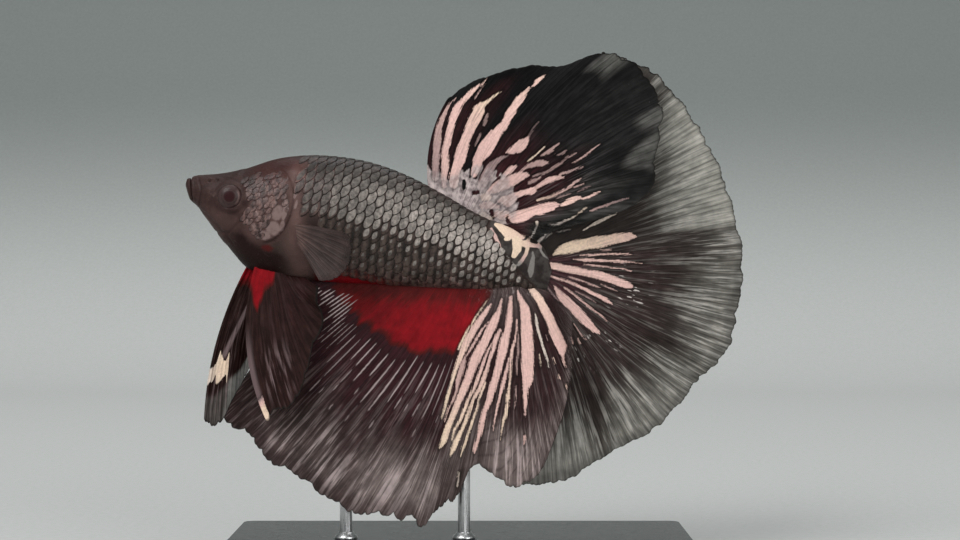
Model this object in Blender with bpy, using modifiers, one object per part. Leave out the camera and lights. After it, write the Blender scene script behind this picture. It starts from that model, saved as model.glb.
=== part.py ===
"""Halfmoon betta fish: a still, life-size display model on a two-rod stand.

Dimensions are millimetres. The fish is built in its own frame (X from snout to tail, Y to its
right side, Z towards the back), hung on the empty `fish_pose`, which pitches it nose up.
"""

import math

import bmesh
import bpy
import numpy as np
from mathutils import Vector

MM = 0.001
FISH, CUTTERS = "halfmoon betta fish", "cutters"

# Whole fish
SNOUT_X, SNOUT_Z = -35.08, 50.33
PITCH = 14.26
SWAY_START, SWAY_END = 31.0, 46.0
SWAY_CURVE, SWAY_FADE = 0.0095, 18.0
GAP = 0.30

# Body stations: distance from the snout, back line, belly line, half width, height of widest point
STATIONS = np.array(
    [
        (0.0, 0.20, -0.75, 0.40, -0.3),
        (0.5, 0.45, -1.62, 0.95, -0.6),
        (1.0, 0.85, -2.27, 1.30, -0.8),
        (2.0, 1.22, -2.93, 1.80, -0.9),
        (3.5, 1.72, -4.10, 2.45, -1.0),
        (5.8, 2.72, -6.00, 3.25, -1.2),
        (8.1, 4.15, -7.82, 3.85, -1.5),
        (9.9, 5.30, -9.02, 4.15, -1.6),
        (13.4, 6.78, -9.33, 4.50, -1.4),
        (17.6, 7.70, -8.91, 4.60, -0.9),
        (22.3, 8.08, -8.11, 4.35, -0.4),
        (27.4, 7.60, -7.09, 3.85, 0.0),
        (32.4, 6.42, -6.08, 3.30, 0.1),
        (37.5, 5.02, -5.06, 2.70, 0.1),
        (42.5, 4.24, -3.92, 1.85, 0.2),
        (45.2, 3.67, -3.22, 1.25, 0.2),
        (47.0, 2.60, -2.80, 0.80, 0.0),
        (48.4, 0.40, -2.20, 0.45, -0.9),
    ]
)
BACK_POWER, BELLY_POWER = 2.15, 1.85
RING_POINTS, BODY_RINGS = 26, 38
RING_CROWDING = 0.28  # how much closer the rings lie at the two ends, from 0 to 1

# Cuts between the body pieces: a point on the plane and its slope as a run and a rise
MOUTH_CUT = ((0.50, 0.13), (0.85, -2.31))
JAW_CUT = ((2.60, 1.40), (-0.20, -4.50))
NAPE_CUT = ((12.3, 0.0), (0.0, -1.0))
STALK_CUT = ((40.0, 0.0), (0.0, -1.0))

# Head parts
EYE_AT = (6.30, -0.72)
EYE_RADIUS, EYE_DEPTH, EYE_BULGE = 1.50, 1.15, 0.38
GILL_AT, GILL_REACH = (11.3, -0.60), (3.20, 4.80)
GILL_PLATE = 0.60
GILL_CELLS, CUTTER_PROUD = 8, 1.2

# Fins. Each ray row: root along, root height, lean at the root, lean at the tip, length
DORSAL_RAYS = (
    (30.1, 7.14, 110, 72, 11.5),
    (31.2, 6.73, 102, 72, 14.2),
    (32.3, 6.49, 98, 66, 16.5),
    (33.6, 6.15, 92, 57, 20.0),
    (34.9, 5.81, 84, 53, 22.0),
    (36.1, 5.48, 76, 52, 26.3),
    (37.3, 5.11, 68, 49, 27.9),
    (38.3, 4.90, 58, 41, 27.1),
    (39.2, 4.75, 48, 43, 25.6),
    (39.8, 4.66, 41, 32, 21.6),
    (40.4, 4.58, 36, 15, 19.6),
    (41.6, 4.45, 18, 4, 6.5),
)
CAUDAL_RAYS = (
    (43.4, 4.55, 88, 72, 25.2),
    (44.2, 4.42, 82, 66, 25.9),
    (45.1, 4.14, 74, 58, 26.3),
    (45.9, 3.76, 65, 49, 25.9),
    (46.7, 3.30, 55, 42, 25.2),
    (47.4, 2.74, 45, 35, 25.0),
    (47.9, 2.12, 34, 28, 24.5),
    (48.3, 1.46, 23, 20, 25.0),
    (48.6, 0.80, 13, 13, 24.9),
    (48.8, 0.16, 2, 4, 24.8),
    (48.9, -0.46, -8, -7, 24.9),
    (48.9, -1.06, -20, -15, 23.4),
    (48.9, -1.62, -29, -23, 23.1),
    (48.8, -2.12, -40, -37, 23.0),
    (48.6, -2.54, -52, -56, 22.7),
    (48.3, -2.84, -66, -67, 24.1),
    (48.0, -2.98, -76, -75, 24.6),
    (47.6, -3.06, -83, -84, 24.8),
    (47.1, -3.12, -88, -99, 23.6),
)
ANAL_RAYS = (
    (17.8, -9.10, -129, -86, 2.0),
    (20.4, -8.62, -129, -120, 7.9),
    (23.0, -8.10, -129, -120, 15.7),
    (25.4, -7.66, -128, -117, 24.3),
    (27.2, -7.30, -124, -111, 25.1),
    (28.9, -6.96, -120, -105, 27.1),
    (30.7, -6.62, -116, -99, 27.8),
    (32.3, -6.30, -110, -93, 28.9),
    (34.0, -5.96, -103, -90, 29.9),
    (35.5, -5.66, -96, -89, 29.5),
    (36.9, -5.38, -90, -86, 29.6),
    (38.1, -5.12, -86, -85, 30.4),
    (39.2, -4.88, -83, -86, 27.6),
    (40.2, -4.66, -83, -86, 27.1),
    (41.2, -4.42, -84, -85, 26.1),
    (42.2, -4.18, -79, -88, 22.5),
    (43.2, -3.92, -70, -85, 24.1),
    (44.1, -3.70, -62, -85, 24.8),
    (44.8, -3.52, -52, -86, 23.7),
    (45.4, -3.36, -38, -84, 18.6),
    (46.5, -3.12, -12, -72, 9.6),
)
PELVIC_LEFT_RAYS = (
    (11.3, -9.45, -90, -49, 19.6),
    (12.3, -9.55, -82, -55, 17.3),
    (13.3, -9.55, -76, -55, 16.4),
    (14.3, -9.50, -68, -53, 13.8),
    (15.3, -9.40, -58, -48, 9.6),
    (16.2, -9.30, -36, -25, 6.2),
)
PELVIC_RIGHT_RAYS = (
    (9.9, -9.30, -104, -79, 20.8),
    (10.6, -9.40, -101, -79, 20.8),
    (11.3, -9.50, -98, -77, 18.2),
    (12.0, -9.55, -94, -80, 14.9),
    (12.6, -9.55, -90, -82, 11.3),
)
PECTORAL_RAYS = (
    (15.75, -1.96, 8, -2, 6.6),
    (16.00, -2.65, -6, -12, 7.4),
    (16.25, -3.35, -20, -24, 7.3),
    (16.48, -4.00, -32, -35, 6.4),
    (16.69, -4.64, -44, -46, 5.0),
)
FIN_THICKNESS = 0.56

# Sideways set of the fins: how far each leans out over its width and length
DORSAL_LEAN, DORSAL_HANG, DORSAL_HUNG_FROM = 0.25, 0.70, 0.9
CAUDAL_LEAN = 0.5
ANAL_ROOT_LEAN, ANAL_LEAN, ANAL_REAR_LEAN = 0.65, 0.25, 0.75
PELVIC_OFFSET, PELVIC_SPLAY, PELVIC_LEAN = 1.15, 2.1, 0.3
PECTORAL_TOP, PECTORAL_DROP, PECTORAL_SPLAY = -2.0, 2.7, 2.6

# Soft folds: depth, count across the fin, start angle
DORSAL_FOLDS = (0.55, 3.5, 0.6)
CAUDAL_FOLDS = (0.65, 6.5, 0.0)
ANAL_FOLDS = (0.55, 5.5, 1.0)
PELVIC_FOLDS = (0.25, 1.5, 0.0)

# Cells of each fin's grid: across the rays, along them
DORSAL_GRID, CAUDAL_GRID, ANAL_GRID = (25, 7), (41, 7), (39, 7)
PELVIC_LEFT_GRID, PELVIC_RIGHT_GRID, PECTORAL_GRID = (10, 7), (8, 7), (8, 4)

# Stand
BASE_SIZE, BASE_ROUNDING = (60.0, 38.0, 4.0), 1.2
ROD_RADIUS, ROD_FOOT = 0.8, 1.6
RODS = {"front": (-14.8, 2.25, 40.3), "rear": (0.5, 2.15, 39.2)}


def smooth(xs, ys, x):
    """Cubic curve through the given values, with no overshoot at its ends."""
    slopes = np.gradient(ys, xs)
    i = np.clip(np.searchsorted(xs, x, side="right") - 1, 0, len(xs) - 2)
    step = xs[i + 1] - xs[i]
    f = np.clip((x - xs[i]) / step, 0.0, 1.0)
    a = (2 * f**3 - 3 * f**2 + 1) * ys[i] + (f**3 - 2 * f**2 + f) * step * slopes[i]
    return a + (3 * f**2 - 2 * f**3) * ys[i + 1] + (f**3 - f**2) * step * slopes[i + 1]


def sway(along):
    """How far the spine has curved to the fish's right at this distance from the snout."""
    bent = SWAY_CURVE * np.clip(along - SWAY_START, 0.0, SWAY_END - SWAY_START) ** 2
    slope = 2 * SWAY_CURVE * (SWAY_END - SWAY_START)
    past = np.clip(along - SWAY_END, 0.0, None)
    return bent + slope * SWAY_FADE * (1 - np.exp(-past / SWAY_FADE))


def body_row(along):
    """(back, belly, half width, height of the widest point) of the body at this station."""
    return [smooth(STATIONS[:, 0], STATIONS[:, column], along) for column in (1, 2, 3, 4)]


def side_of_body(along, height):
    """Half width of the body at this distance from the snout and this height."""
    back, belly, width, middle = body_row(along)
    if height > middle:
        share, power = (height - middle) / (back - middle), BACK_POWER
    else:
        share, power = (middle - height) / (middle - belly), BELLY_POWER
    return width * max(0.0, 1 - share**power) ** (1 / power)


def body_point(along, turn):
    """Point of the body's surface; turn runs from 0 at the back, down the right side and round."""
    back, belly, width, middle = body_row(along)
    side, up = math.sin(turn), math.cos(turn)
    power = BACK_POWER if up > 0 else BELLY_POWER
    reach = (back - middle) if up > 0 else (middle - belly)
    return Vector(
        (
            along,
            math.copysign(width * abs(side) ** (2 / power), side) + float(sway(along)),
            middle + math.copysign(reach * abs(up) ** (2 / power), up),
        )
    )


def link(bm, name, material, parent=None, location=(0.0, 0.0, 0.0)):
    """Turns a bmesh in millimetres into a shaded object; one with no material is a cutter."""
    bm.normal_update()
    bmesh.ops.recalc_face_normals(bm, faces=bm.faces)
    bmesh.ops.scale(bm, vec=(MM, MM, MM), verts=bm.verts)
    mesh = bpy.data.meshes.new(name)
    bm.to_mesh(mesh)
    bm.free()
    mesh.shade_smooth()
    obj = bpy.data.objects.new(name, mesh)
    obj.location = [value * MM for value in location]
    obj.parent = parent
    if material:
        mesh.materials.append(material)
        bpy.data.collections[FISH].objects.link(obj)
    else:
        bpy.data.collections[CUTTERS].objects.link(obj)
        obj.hide_render = True
        obj.display_type = "WIRE"
    return obj


def finish(name, colour, roughness, metallic=0.0, alpha=1.0):
    """Principled material of one kind of surface."""
    material = bpy.data.materials.new(name)
    material.use_nodes = True
    shader = material.node_tree.nodes["Principled BSDF"]
    shader.inputs["Base Color"].default_value = (*colour, 1.0)
    shader.inputs["Roughness"].default_value = roughness
    shader.inputs["Metallic"].default_value = metallic
    shader.inputs["Alpha"].default_value = alpha
    return material


def cut(obj, cutter):
    """Takes the cutter out of the object."""
    boolean = obj.modifiers.new("cut_" + cutter.name, "BOOLEAN")
    boolean.operation = "DIFFERENCE"
    boolean.solver = "EXACT"
    boolean.object = cutter


def body_bmesh():
    """The whole body, from snout to tail root, as one closed loft."""
    bm = bmesh.new()
    ends = np.linspace(0.0, 1.0, BODY_RINGS)
    crowded = 0.5 - 0.5 * np.cos(math.pi * ends)
    stations = STATIONS[-1, 0] * (ends + RING_CROWDING * (crowded - ends))
    turns = [2 * math.pi * i / RING_POINTS for i in range(RING_POINTS)]
    rings = [[bm.verts.new(body_point(u, turn)) for turn in turns] for u in stations]
    for ring, after in zip(rings, rings[1:]):
        for i in range(RING_POINTS):
            j = (i + 1) % RING_POINTS
            bm.faces.new((ring[i], ring[j], after[j], after[i]))
    bm.faces.new(rings[0])
    bm.faces.new(reversed(rings[-1]))
    return bm


def trim(bm, plane, keep_rear):
    """Keeps the part in front of or behind a cut, half a gap away from it."""
    (along, height), (run, rise) = plane
    normal = Vector((-rise, 0.0, run)).normalized()
    side = normal if keep_rear else -normal
    bmesh.ops.bisect_plane(
        bm,
        geom=[*bm.verts, *bm.edges, *bm.faces],
        plane_co=Vector((along, 0.0, height)) + side * GAP / 2,
        plane_no=normal,
        clear_inner=keep_rear,
        clear_outer=not keep_rear,
    )
    bmesh.ops.holes_fill(bm, edges=[edge for edge in bm.edges if edge.is_boundary])


def body_piece(name, material, pose, front=None, rear=None):
    """One length of the body between two cuts."""
    bm = body_bmesh()
    if front:
        trim(bm, front, keep_rear=True)
    if rear:
        trim(bm, rear, keep_rear=False)
    return link(bm, name, material, pose)


def ellipsoid(name, material, pose, centre, radii, segments=16, rings=10):
    """A ball squeezed along its axes, its poles facing sideways."""
    bm = bmesh.new()
    bmesh.ops.create_uvsphere(bm, u_segments=segments, v_segments=rings, radius=1.0)
    for vert in bm.verts:
        x, y, z = vert.co
        vert.co = (x * radii[0], z * radii[1], y * radii[2])
    return link(bm, name, material, pose, centre)


def thicken(obj, thickness):
    """Makes an open sheet a closed solid, half of it on either side."""
    solid = obj.modifiers.new("thickness", "SOLIDIFY")
    solid.thickness = thickness * MM
    solid.offset = 0.0
    solid.use_even_offset = True
    return obj


def sheet(name, material, pose, columns, rows, place):
    """Open grid, each point put at place(share along the columns, share along the rows)."""
    bm = bmesh.new()
    bmesh.ops.create_grid(bm, x_segments=columns, y_segments=rows, size=1.0)
    for vert in bm.verts:
        vert.co = place((vert.co.x + 1) / 2, (vert.co.y + 1) / 2)
    return link(bm, name, material, pose)


def gill_plate(name, material, pose, side, grow, proud):
    """Oval plate let into the cheek; the cutter for its recess grows and stands proud."""

    def place(column, row):
        x, y = 2 * column - 1, 2 * row - 1
        along = GILL_AT[0] + (GILL_REACH[0] + grow) * x * math.sqrt(1 - y * y / 2)
        height = GILL_AT[1] + (GILL_REACH[1] + grow) * y * math.sqrt(1 - x * x / 2)
        middle = side_of_body(along, height) + (proud - GILL_PLATE - grow) / 2
        return Vector((along, side * middle, height))

    thickness = GILL_PLATE + grow + proud
    return thicken(sheet(name, material, pose, GILL_CELLS, GILL_CELLS, place), thickness)


def fin_point(rays, share, reach, offset):
    """Point of a fin's middle sheet: share picks the ray, reach runs from its root to its tip."""
    table = np.array(rays, float)
    places = np.linspace(0.0, 1.0, len(table))
    along, height, lean, end, length = (smooth(places, table[:, i], share) for i in range(5))
    bend = np.radians(end - lean) * reach
    chord = length * reach * np.sinc(bend / 2 / math.pi)
    angle = np.radians(lean) + bend / 2
    point = np.array((along + chord * np.cos(angle), 0.0, height + chord * np.sin(angle)))
    point[1] = offset(share, reach, along, point[0])
    return point


def fin(name, material, pose, rays, offset, grid):
    """Thin solid round the middle sheet of a fin."""

    def place(share, reach):
        return fin_point(rays, share, reach, offset)

    return thicken(sheet(name, material, pose, *grid, place), FIN_THICKNESS)


def folded(folds, share):
    """Sideways wave of a fin's folds at this share of its width."""
    depth, count, start = folds
    return depth * math.sin(2 * math.pi * count * share + start)


def dorsal_offset(share, reach, root, along):
    """Back fin: keeps to the near side of the tail, most of all where it hangs over the stalk."""
    hung = max(0.0, share - DORSAL_HUNG_FROM) / (1 - DORSAL_HUNG_FROM) * (1 - (1 - reach) ** 4)
    out = DORSAL_LEAN * share * reach + DORSAL_HANG * hung
    return float(sway(root)) - out + folded(DORSAL_FOLDS, share) * reach**2


def caudal_offset(share, reach, root, along):
    """Tail fin: carries on the curve of the spine, with folds towards its edge."""
    out = CAUDAL_LEAN * reach * share
    return float(sway(max(root, along))) + out + folded(CAUDAL_FOLDS, share) * reach**2


def anal_offset(share, reach, root, along):
    """Belly fin: leans to the near side, so that it passes clear of the tail fin."""
    rear = max(0.0, 2 * share - 1)
    out = ANAL_ROOT_LEAN * rear + (ANAL_LEAN + ANAL_REAR_LEAN * rear) * reach
    return float(sway(root)) - out + folded(ANAL_FOLDS, share) * reach**2


def pelvic_offset(side):
    """Throat fin: splays out from the body."""

    def offset(share, reach, root, along):
        out = PELVIC_OFFSET + PELVIC_SPLAY * reach + PELVIC_LEAN * share
        return side * out + folded(PELVIC_FOLDS, share) * reach

    return offset


def pectoral_offset(side):
    """Breast fin: stands off the flank as a small fan."""

    def offset(share, reach, root, along):
        flank = side_of_body(root, PECTORAL_TOP - PECTORAL_DROP * share)
        return side * (flank + FIN_THICKNESS / 2 + GAP + PECTORAL_SPLAY * reach)

    return offset


def build_body(pose):
    """Head, jaws, trunk, tail stalk, eyes and gill covers."""
    skin = finish("skin", (0.10, 0.085, 0.08), 0.45)
    snout = finish("snout_skin", (0.06, 0.045, 0.042), 0.5)
    plate = finish("gill_cover_skin", (0.20, 0.16, 0.155), 0.4)
    eye_gloss = finish("eye_gloss", (0.035, 0.012, 0.012), 0.12)
    body_piece("jaw_lower", snout, pose, rear=MOUTH_CUT)
    body_piece("jaw_upper", snout, pose, front=MOUTH_CUT, rear=JAW_CUT)
    head = body_piece("head", snout, pose, front=JAW_CUT, rear=NAPE_CUT)
    trunk = body_piece("trunk", skin, pose, front=NAPE_CUT, rear=STALK_CUT)
    body_piece("tail_stalk", skin, pose, front=STALK_CUT)
    for label, side in (("left", -1), ("right", 1)):
        depth = side_of_body(*EYE_AT) + EYE_BULGE - EYE_DEPTH
        centre = (EYE_AT[0], side * depth, EYE_AT[1])
        radii = (EYE_RADIUS, EYE_DEPTH, EYE_RADIUS)
        ellipsoid("eye_" + label, eye_gloss, pose, centre, radii)
        roomy = [radius + GAP for radius in radii]
        cut(head, ellipsoid("eye_socket_" + label, None, pose, centre, roomy))
        gill_plate("gill_cover_" + label, plate, pose, side, 0.0, 0.0)
        recess = gill_plate("gill_recess_" + label, None, pose, side, GAP, CUTTER_PROUD)
        cut(head, recess)
        cut(trunk, recess)
    return trunk


def build_fins(pose):
    """Every fin, each as its own thin solid."""
    dark = finish("dorsal_membrane", (0.02, 0.018, 0.02), 0.4, alpha=0.95)
    tail = finish("caudal_membrane", (0.09, 0.085, 0.08), 0.4, alpha=0.8)
    belly = finish("anal_membrane", (0.06, 0.025, 0.03), 0.4, alpha=0.9)
    throat = finish("pelvic_membrane", (0.05, 0.03, 0.032), 0.4, alpha=0.95)
    breast = finish("pectoral_membrane", (0.20, 0.15, 0.14), 0.35, alpha=0.4)
    fin("dorsal_fin", dark, pose, DORSAL_RAYS, dorsal_offset, DORSAL_GRID)
    fin("caudal_fin", tail, pose, CAUDAL_RAYS, caudal_offset, CAUDAL_GRID)
    fin("anal_fin", belly, pose, ANAL_RAYS, anal_offset, ANAL_GRID)
    left, right = pelvic_offset(-1), pelvic_offset(1)
    fin("pelvic_fin_left", throat, pose, PELVIC_LEFT_RAYS, left, PELVIC_LEFT_GRID)
    fin("pelvic_fin_right", throat, pose, PELVIC_RIGHT_RAYS, right, PELVIC_RIGHT_GRID)
    left, right = pectoral_offset(-1), pectoral_offset(1)
    fin("pectoral_fin_left", breast, pose, PECTORAL_RAYS, left, PECTORAL_GRID)
    fin("pectoral_fin_right", breast, pose, PECTORAL_RAYS, right, PECTORAL_GRID)


def cylinder(name, material, radius, foot, top, at):
    """Upright round bar."""
    bm = bmesh.new()
    bmesh.ops.create_cone(
        bm, cap_ends=True, segments=16, radius1=radius, radius2=radius, depth=top - foot
    )
    return link(bm, name, material, None, (at[0], at[1], (foot + top) / 2))


def build_stand(trunk):
    """Flat base with two upright rods that end in blind holes in the trunk."""
    acrylic = finish("stand_acrylic", (0.025, 0.025, 0.028), 0.15)
    steel = finish("stand_steel", (0.62, 0.62, 0.64), 0.25, metallic=1.0)
    bm = bmesh.new()
    bmesh.ops.create_cube(bm, size=1.0)
    bmesh.ops.scale(bm, vec=BASE_SIZE, verts=bm.verts)
    upper = [edge for edge in bm.edges if max(v.co.z for v in edge.verts) > 0]
    bmesh.ops.bevel(bm, geom=upper, offset=BASE_ROUNDING, segments=2, profile=0.5)
    base = link(bm, "stand_base", acrylic, None, (0.0, 0.0, BASE_SIZE[2] / 2))
    for face in base.data.polygons:
        face.use_smooth = False
    for label, (x, y, top) in RODS.items():
        cylinder("stand_rod_" + label, steel, ROD_RADIUS, ROD_FOOT, top, (x, y))
        hole, below = ROD_RADIUS + GAP, BASE_SIZE[2] + CUTTER_PROUD
        cut(base, cylinder("foot_hole_" + label, None, hole, ROD_FOOT - GAP, below, (x, y)))
        cut(trunk, cylinder("body_hole_" + label, None, hole, top / 2, top + GAP, (x, y)))


def main():
    """Clears the scene and builds the fish and its stand."""
    for obj in list(bpy.data.objects):
        bpy.data.objects.remove(obj)
    for name in (FISH, CUTTERS):
        bpy.context.scene.collection.children.link(bpy.data.collections.new(name))
    pose = bpy.data.objects.new("fish_pose", None)
    pose.location = (SNOUT_X * MM, 0.0, SNOUT_Z * MM)
    pose.rotation_euler = (0.0, math.radians(PITCH), 0.0)
    bpy.data.collections[FISH].objects.link(pose)
    trunk = build_body(pose)
    build_fins(pose)
    build_stand(trunk)


main()
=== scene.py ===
import logging
import math
from dataclasses import dataclass
from enum import Enum
from typing import ClassVar

import bpy
import numpy as np
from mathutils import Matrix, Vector


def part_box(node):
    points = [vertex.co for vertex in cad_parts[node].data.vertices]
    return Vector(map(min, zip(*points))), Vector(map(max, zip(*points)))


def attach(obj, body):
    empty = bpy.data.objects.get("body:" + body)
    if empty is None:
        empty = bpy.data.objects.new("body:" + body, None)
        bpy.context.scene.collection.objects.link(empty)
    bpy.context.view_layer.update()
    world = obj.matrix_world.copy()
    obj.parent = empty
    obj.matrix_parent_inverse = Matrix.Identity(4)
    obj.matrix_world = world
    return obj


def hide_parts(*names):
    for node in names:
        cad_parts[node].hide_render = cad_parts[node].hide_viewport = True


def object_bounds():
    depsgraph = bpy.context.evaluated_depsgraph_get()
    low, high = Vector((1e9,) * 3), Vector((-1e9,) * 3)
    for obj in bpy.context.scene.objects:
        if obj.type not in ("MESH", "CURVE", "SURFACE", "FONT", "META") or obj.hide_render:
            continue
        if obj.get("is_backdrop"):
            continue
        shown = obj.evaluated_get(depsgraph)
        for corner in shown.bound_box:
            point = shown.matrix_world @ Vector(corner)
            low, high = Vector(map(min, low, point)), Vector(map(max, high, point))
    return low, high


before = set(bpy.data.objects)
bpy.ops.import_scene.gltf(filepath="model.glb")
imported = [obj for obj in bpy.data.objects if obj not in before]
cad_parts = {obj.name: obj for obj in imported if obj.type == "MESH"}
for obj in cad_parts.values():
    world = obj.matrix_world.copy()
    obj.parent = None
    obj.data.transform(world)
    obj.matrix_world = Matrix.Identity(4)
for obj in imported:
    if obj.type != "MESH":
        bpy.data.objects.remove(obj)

MM = 0.001
BODY = "root"
LOG = logging.getLogger("betta")

Array = np.ndarray
Colour = tuple[float, float, float]
Point = tuple[float, float]
Feed = float | Colour | bpy.types.NodeSocket

# millimetres of body length that fill the width of the paint map
UNWRAP_LENGTH = 50.0


class Side(Enum):
    """Flank of the fish; the value is the sign of its sideways coordinate."""

    LEFT = -1
    RIGHT = 1


# ---------------------------------------------------------------- curves and noise


def smooth(xs: Array, ys: Array, x: Array) -> Array:
    """Cubic curve through the given values, with no overshoot at its ends.

    Args:
        xs: Rising places of the values.
        ys: The values.
        x: Places to read.

    Returns:
        The curve at x.
    """
    slopes = np.gradient(ys, xs)
    i = np.clip(np.searchsorted(xs, x, side="right") - 1, 0, len(xs) - 2)
    step = xs[i + 1] - xs[i]
    f = np.clip((x - xs[i]) / step, 0.0, 1.0)
    a = (2 * f**3 - 3 * f**2 + 1) * ys[i] + (f**3 - 2 * f**2 + f) * step * slopes[i]
    return a + (3 * f**2 - 2 * f**3) * ys[i + 1] + (f**3 - f**2) * step * slopes[i + 1]


def ease(low: float | Array, high: float | Array, x: Array) -> Array:
    """Smooth step from 0 at low to 1 at high; low may be the larger.

    Args:
        low: Place where the step starts.
        high: Place where it is complete.
        x: Places to read.

    Returns:
        Shares from 0 to 1.
    """
    t = np.clip((x - low) / (high - low), 0.0, 1.0)
    return t * t * (3 - 2 * t)


def bell(x: Array, width: float | Array) -> Array:
    """Bell curve, 1 at x = 0."""
    return np.exp(-((x / width) ** 2))


def blend(share: Array, a: float | Array, b: float | Array) -> Array:
    """Straight mix from a to b."""
    return a + (b - a) * share


def cloud(x: Array, y: Array, seed: int) -> Array:
    """Smooth random field with about one blob for each unit of x and y.

    Args:
        x: First coordinate.
        y: Second coordinate.
        seed: Picks the field.

    Returns:
        Values from 0 to 1.
    """
    side = 64
    table = np.random.default_rng(seed).random((side, side))
    x, y = np.broadcast_arrays(x, y)
    i, j = np.floor(x).astype(int), np.floor(y).astype(int)
    fx, fy = ease(0.0, 1.0, x - i), ease(0.0, 1.0, y - j)
    i, j, k, m = i % side, j % side, (i + 1) % side, (j + 1) % side
    low = blend(fx, table[i, j], table[k, j])
    return blend(fy, low, blend(fx, table[i, m], table[k, m]))


def oval(x: Array, y: Array, centre: Point, radii: Point, soft: float = 0.25) -> Array:
    """Soft-edged oval patch.

    Args:
        x: First coordinate.
        y: Second coordinate.
        centre: Middle of the patch.
        radii: Its half lengths.
        soft: Share of the radius over which its edge fades.

    Returns:
        1 inside, 0 outside.
    """
    far = np.hypot((x - centre[0]) / radii[0], (y - centre[1]) / radii[1])
    return ease(1 + soft, 1 - soft, far)


def from_line(x: Array, y: Array, points: tuple[Point, ...]) -> Array:
    """Distance to a line through several points.

    Args:
        x: First coordinate.
        y: Second coordinate.
        points: Corners of the line.

    Returns:
        Distances in the units of x and y.
    """
    nearest = np.full(np.broadcast(x, y).shape, np.inf)
    for (ax, ay), (bx, by) in zip(points, points[1:]):
        run, rise = bx - ax, by - ay
        t = np.clip(((x - ax) * run + (y - ay) * rise) / (run**2 + rise**2), 0.0, 1.0)
        nearest = np.minimum(nearest, np.hypot(x - ax - t * run, y - ay - t * rise))
    return nearest


def along_line(place: Array, corners: tuple[Point, ...]) -> Array:
    """Value at each place on a broken line with these corners of place and value."""
    return np.interp(place, *np.array(corners).T)


# ---------------------------------------------------------------- meshes


def quads_between(numbers: Array) -> Array:
    """Four-cornered faces between neighbours in a grid of point numbers."""
    quads = (numbers[:-1, :-1], numbers[:-1, 1:], numbers[1:, 1:], numbers[1:, :-1])
    return np.stack(quads, -1).reshape(-1, 4)


def grid_faces(rows: int, columns: int, first: int = 0) -> Array:
    """Four-cornered faces of a grid whose points are listed row by row.

    Args:
        rows: Number of rows of points.
        columns: Number of points in a row.
        first: Number of the grid's first point.

    Returns:
        One row of four point numbers for each face.
    """
    return quads_between(first + np.arange(rows * columns).reshape(rows, columns))


def strip_faces(one: Array, other: Array) -> Array:
    """Faces that join two equally long lines of points."""
    return np.stack((one[:-1], one[1:], other[1:], other[:-1]), -1)


def tube_faces(rows: int, columns: int) -> tuple[Array, Array, Array]:
    """Faces of a tube and of the flat caps on its two ends.

    Args:
        rows: Number of rings.
        columns: Number of points in a ring, the last in the same place as the first.

    Returns:
        Faces of the tube, of the cap on its first ring and of the cap on its last.
    """
    numbers = np.arange(rows * columns).reshape(rows, columns)
    numbers[:, -1] = numbers[:, 0]
    half = (columns - 1) // 2
    caps = [strip_faces(ring[: half + 1], ring[half:][::-1]) for ring in (numbers[0], numbers[-1])]
    return quads_between(numbers), caps[0], caps[1]


def make_piece(
    name: str,
    points: Array,
    faces: Array,
    unwrap: Array,
    masks: dict[str, Array],
    face_unwrap: Array | None = None,
) -> bpy.types.Object:
    """Smooth-shaded mesh that rides on the fish.

    Args:
        name: Name of the piece.
        points: Corners in metres.
        faces: Four point numbers for each face.
        unwrap: Place of each point on the paint map.
        masks: Values over the surface that the finish reads, by name.
        face_unwrap: Point numbers whose paint places the faces take, where not their own.

    Returns:
        The new object.
    """
    mesh = bpy.data.meshes.new(name)
    mesh.vertices.add(len(points))
    mesh.vertices.foreach_set("co", np.ascontiguousarray(points, np.float32).ravel())
    mesh.loops.add(faces.size)
    mesh.loops.foreach_set("vertex_index", faces.astype(np.int32).ravel())
    mesh.polygons.add(len(faces))
    mesh.polygons.foreach_set("loop_start", np.arange(0, faces.size, 4, dtype=np.int32))
    mesh.update(calc_edges=True)
    for mask, values in masks.items():
        layer = mesh.attributes.new(mask, "FLOAT", "POINT")
        layer.data.foreach_set("value", np.ascontiguousarray(values, np.float32).ravel())
    corners = faces if face_unwrap is None else face_unwrap
    paint = mesh.uv_layers.new(name="OFBake")
    paint.uv.foreach_set("vector", unwrap[corners.ravel()].astype(np.float32).ravel())
    mesh.shade_smooth()
    mesh.validate()
    piece = bpy.data.objects.new(name, mesh)
    bpy.context.scene.collection.objects.link(piece)
    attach(piece, BODY)
    return piece


def sheet_normals(points: Array) -> Array:
    """Unit normals of a grid of points.

    Args:
        points: Array of rows, columns and three coordinates.

    Returns:
        Array of the same shape.
    """
    normals = np.cross(np.gradient(points, axis=1), np.gradient(points, axis=0))
    return normals / np.maximum(np.linalg.norm(normals, axis=-1, keepdims=True), 1e-12)


# ---------------------------------------------------------------- finishes


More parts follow.
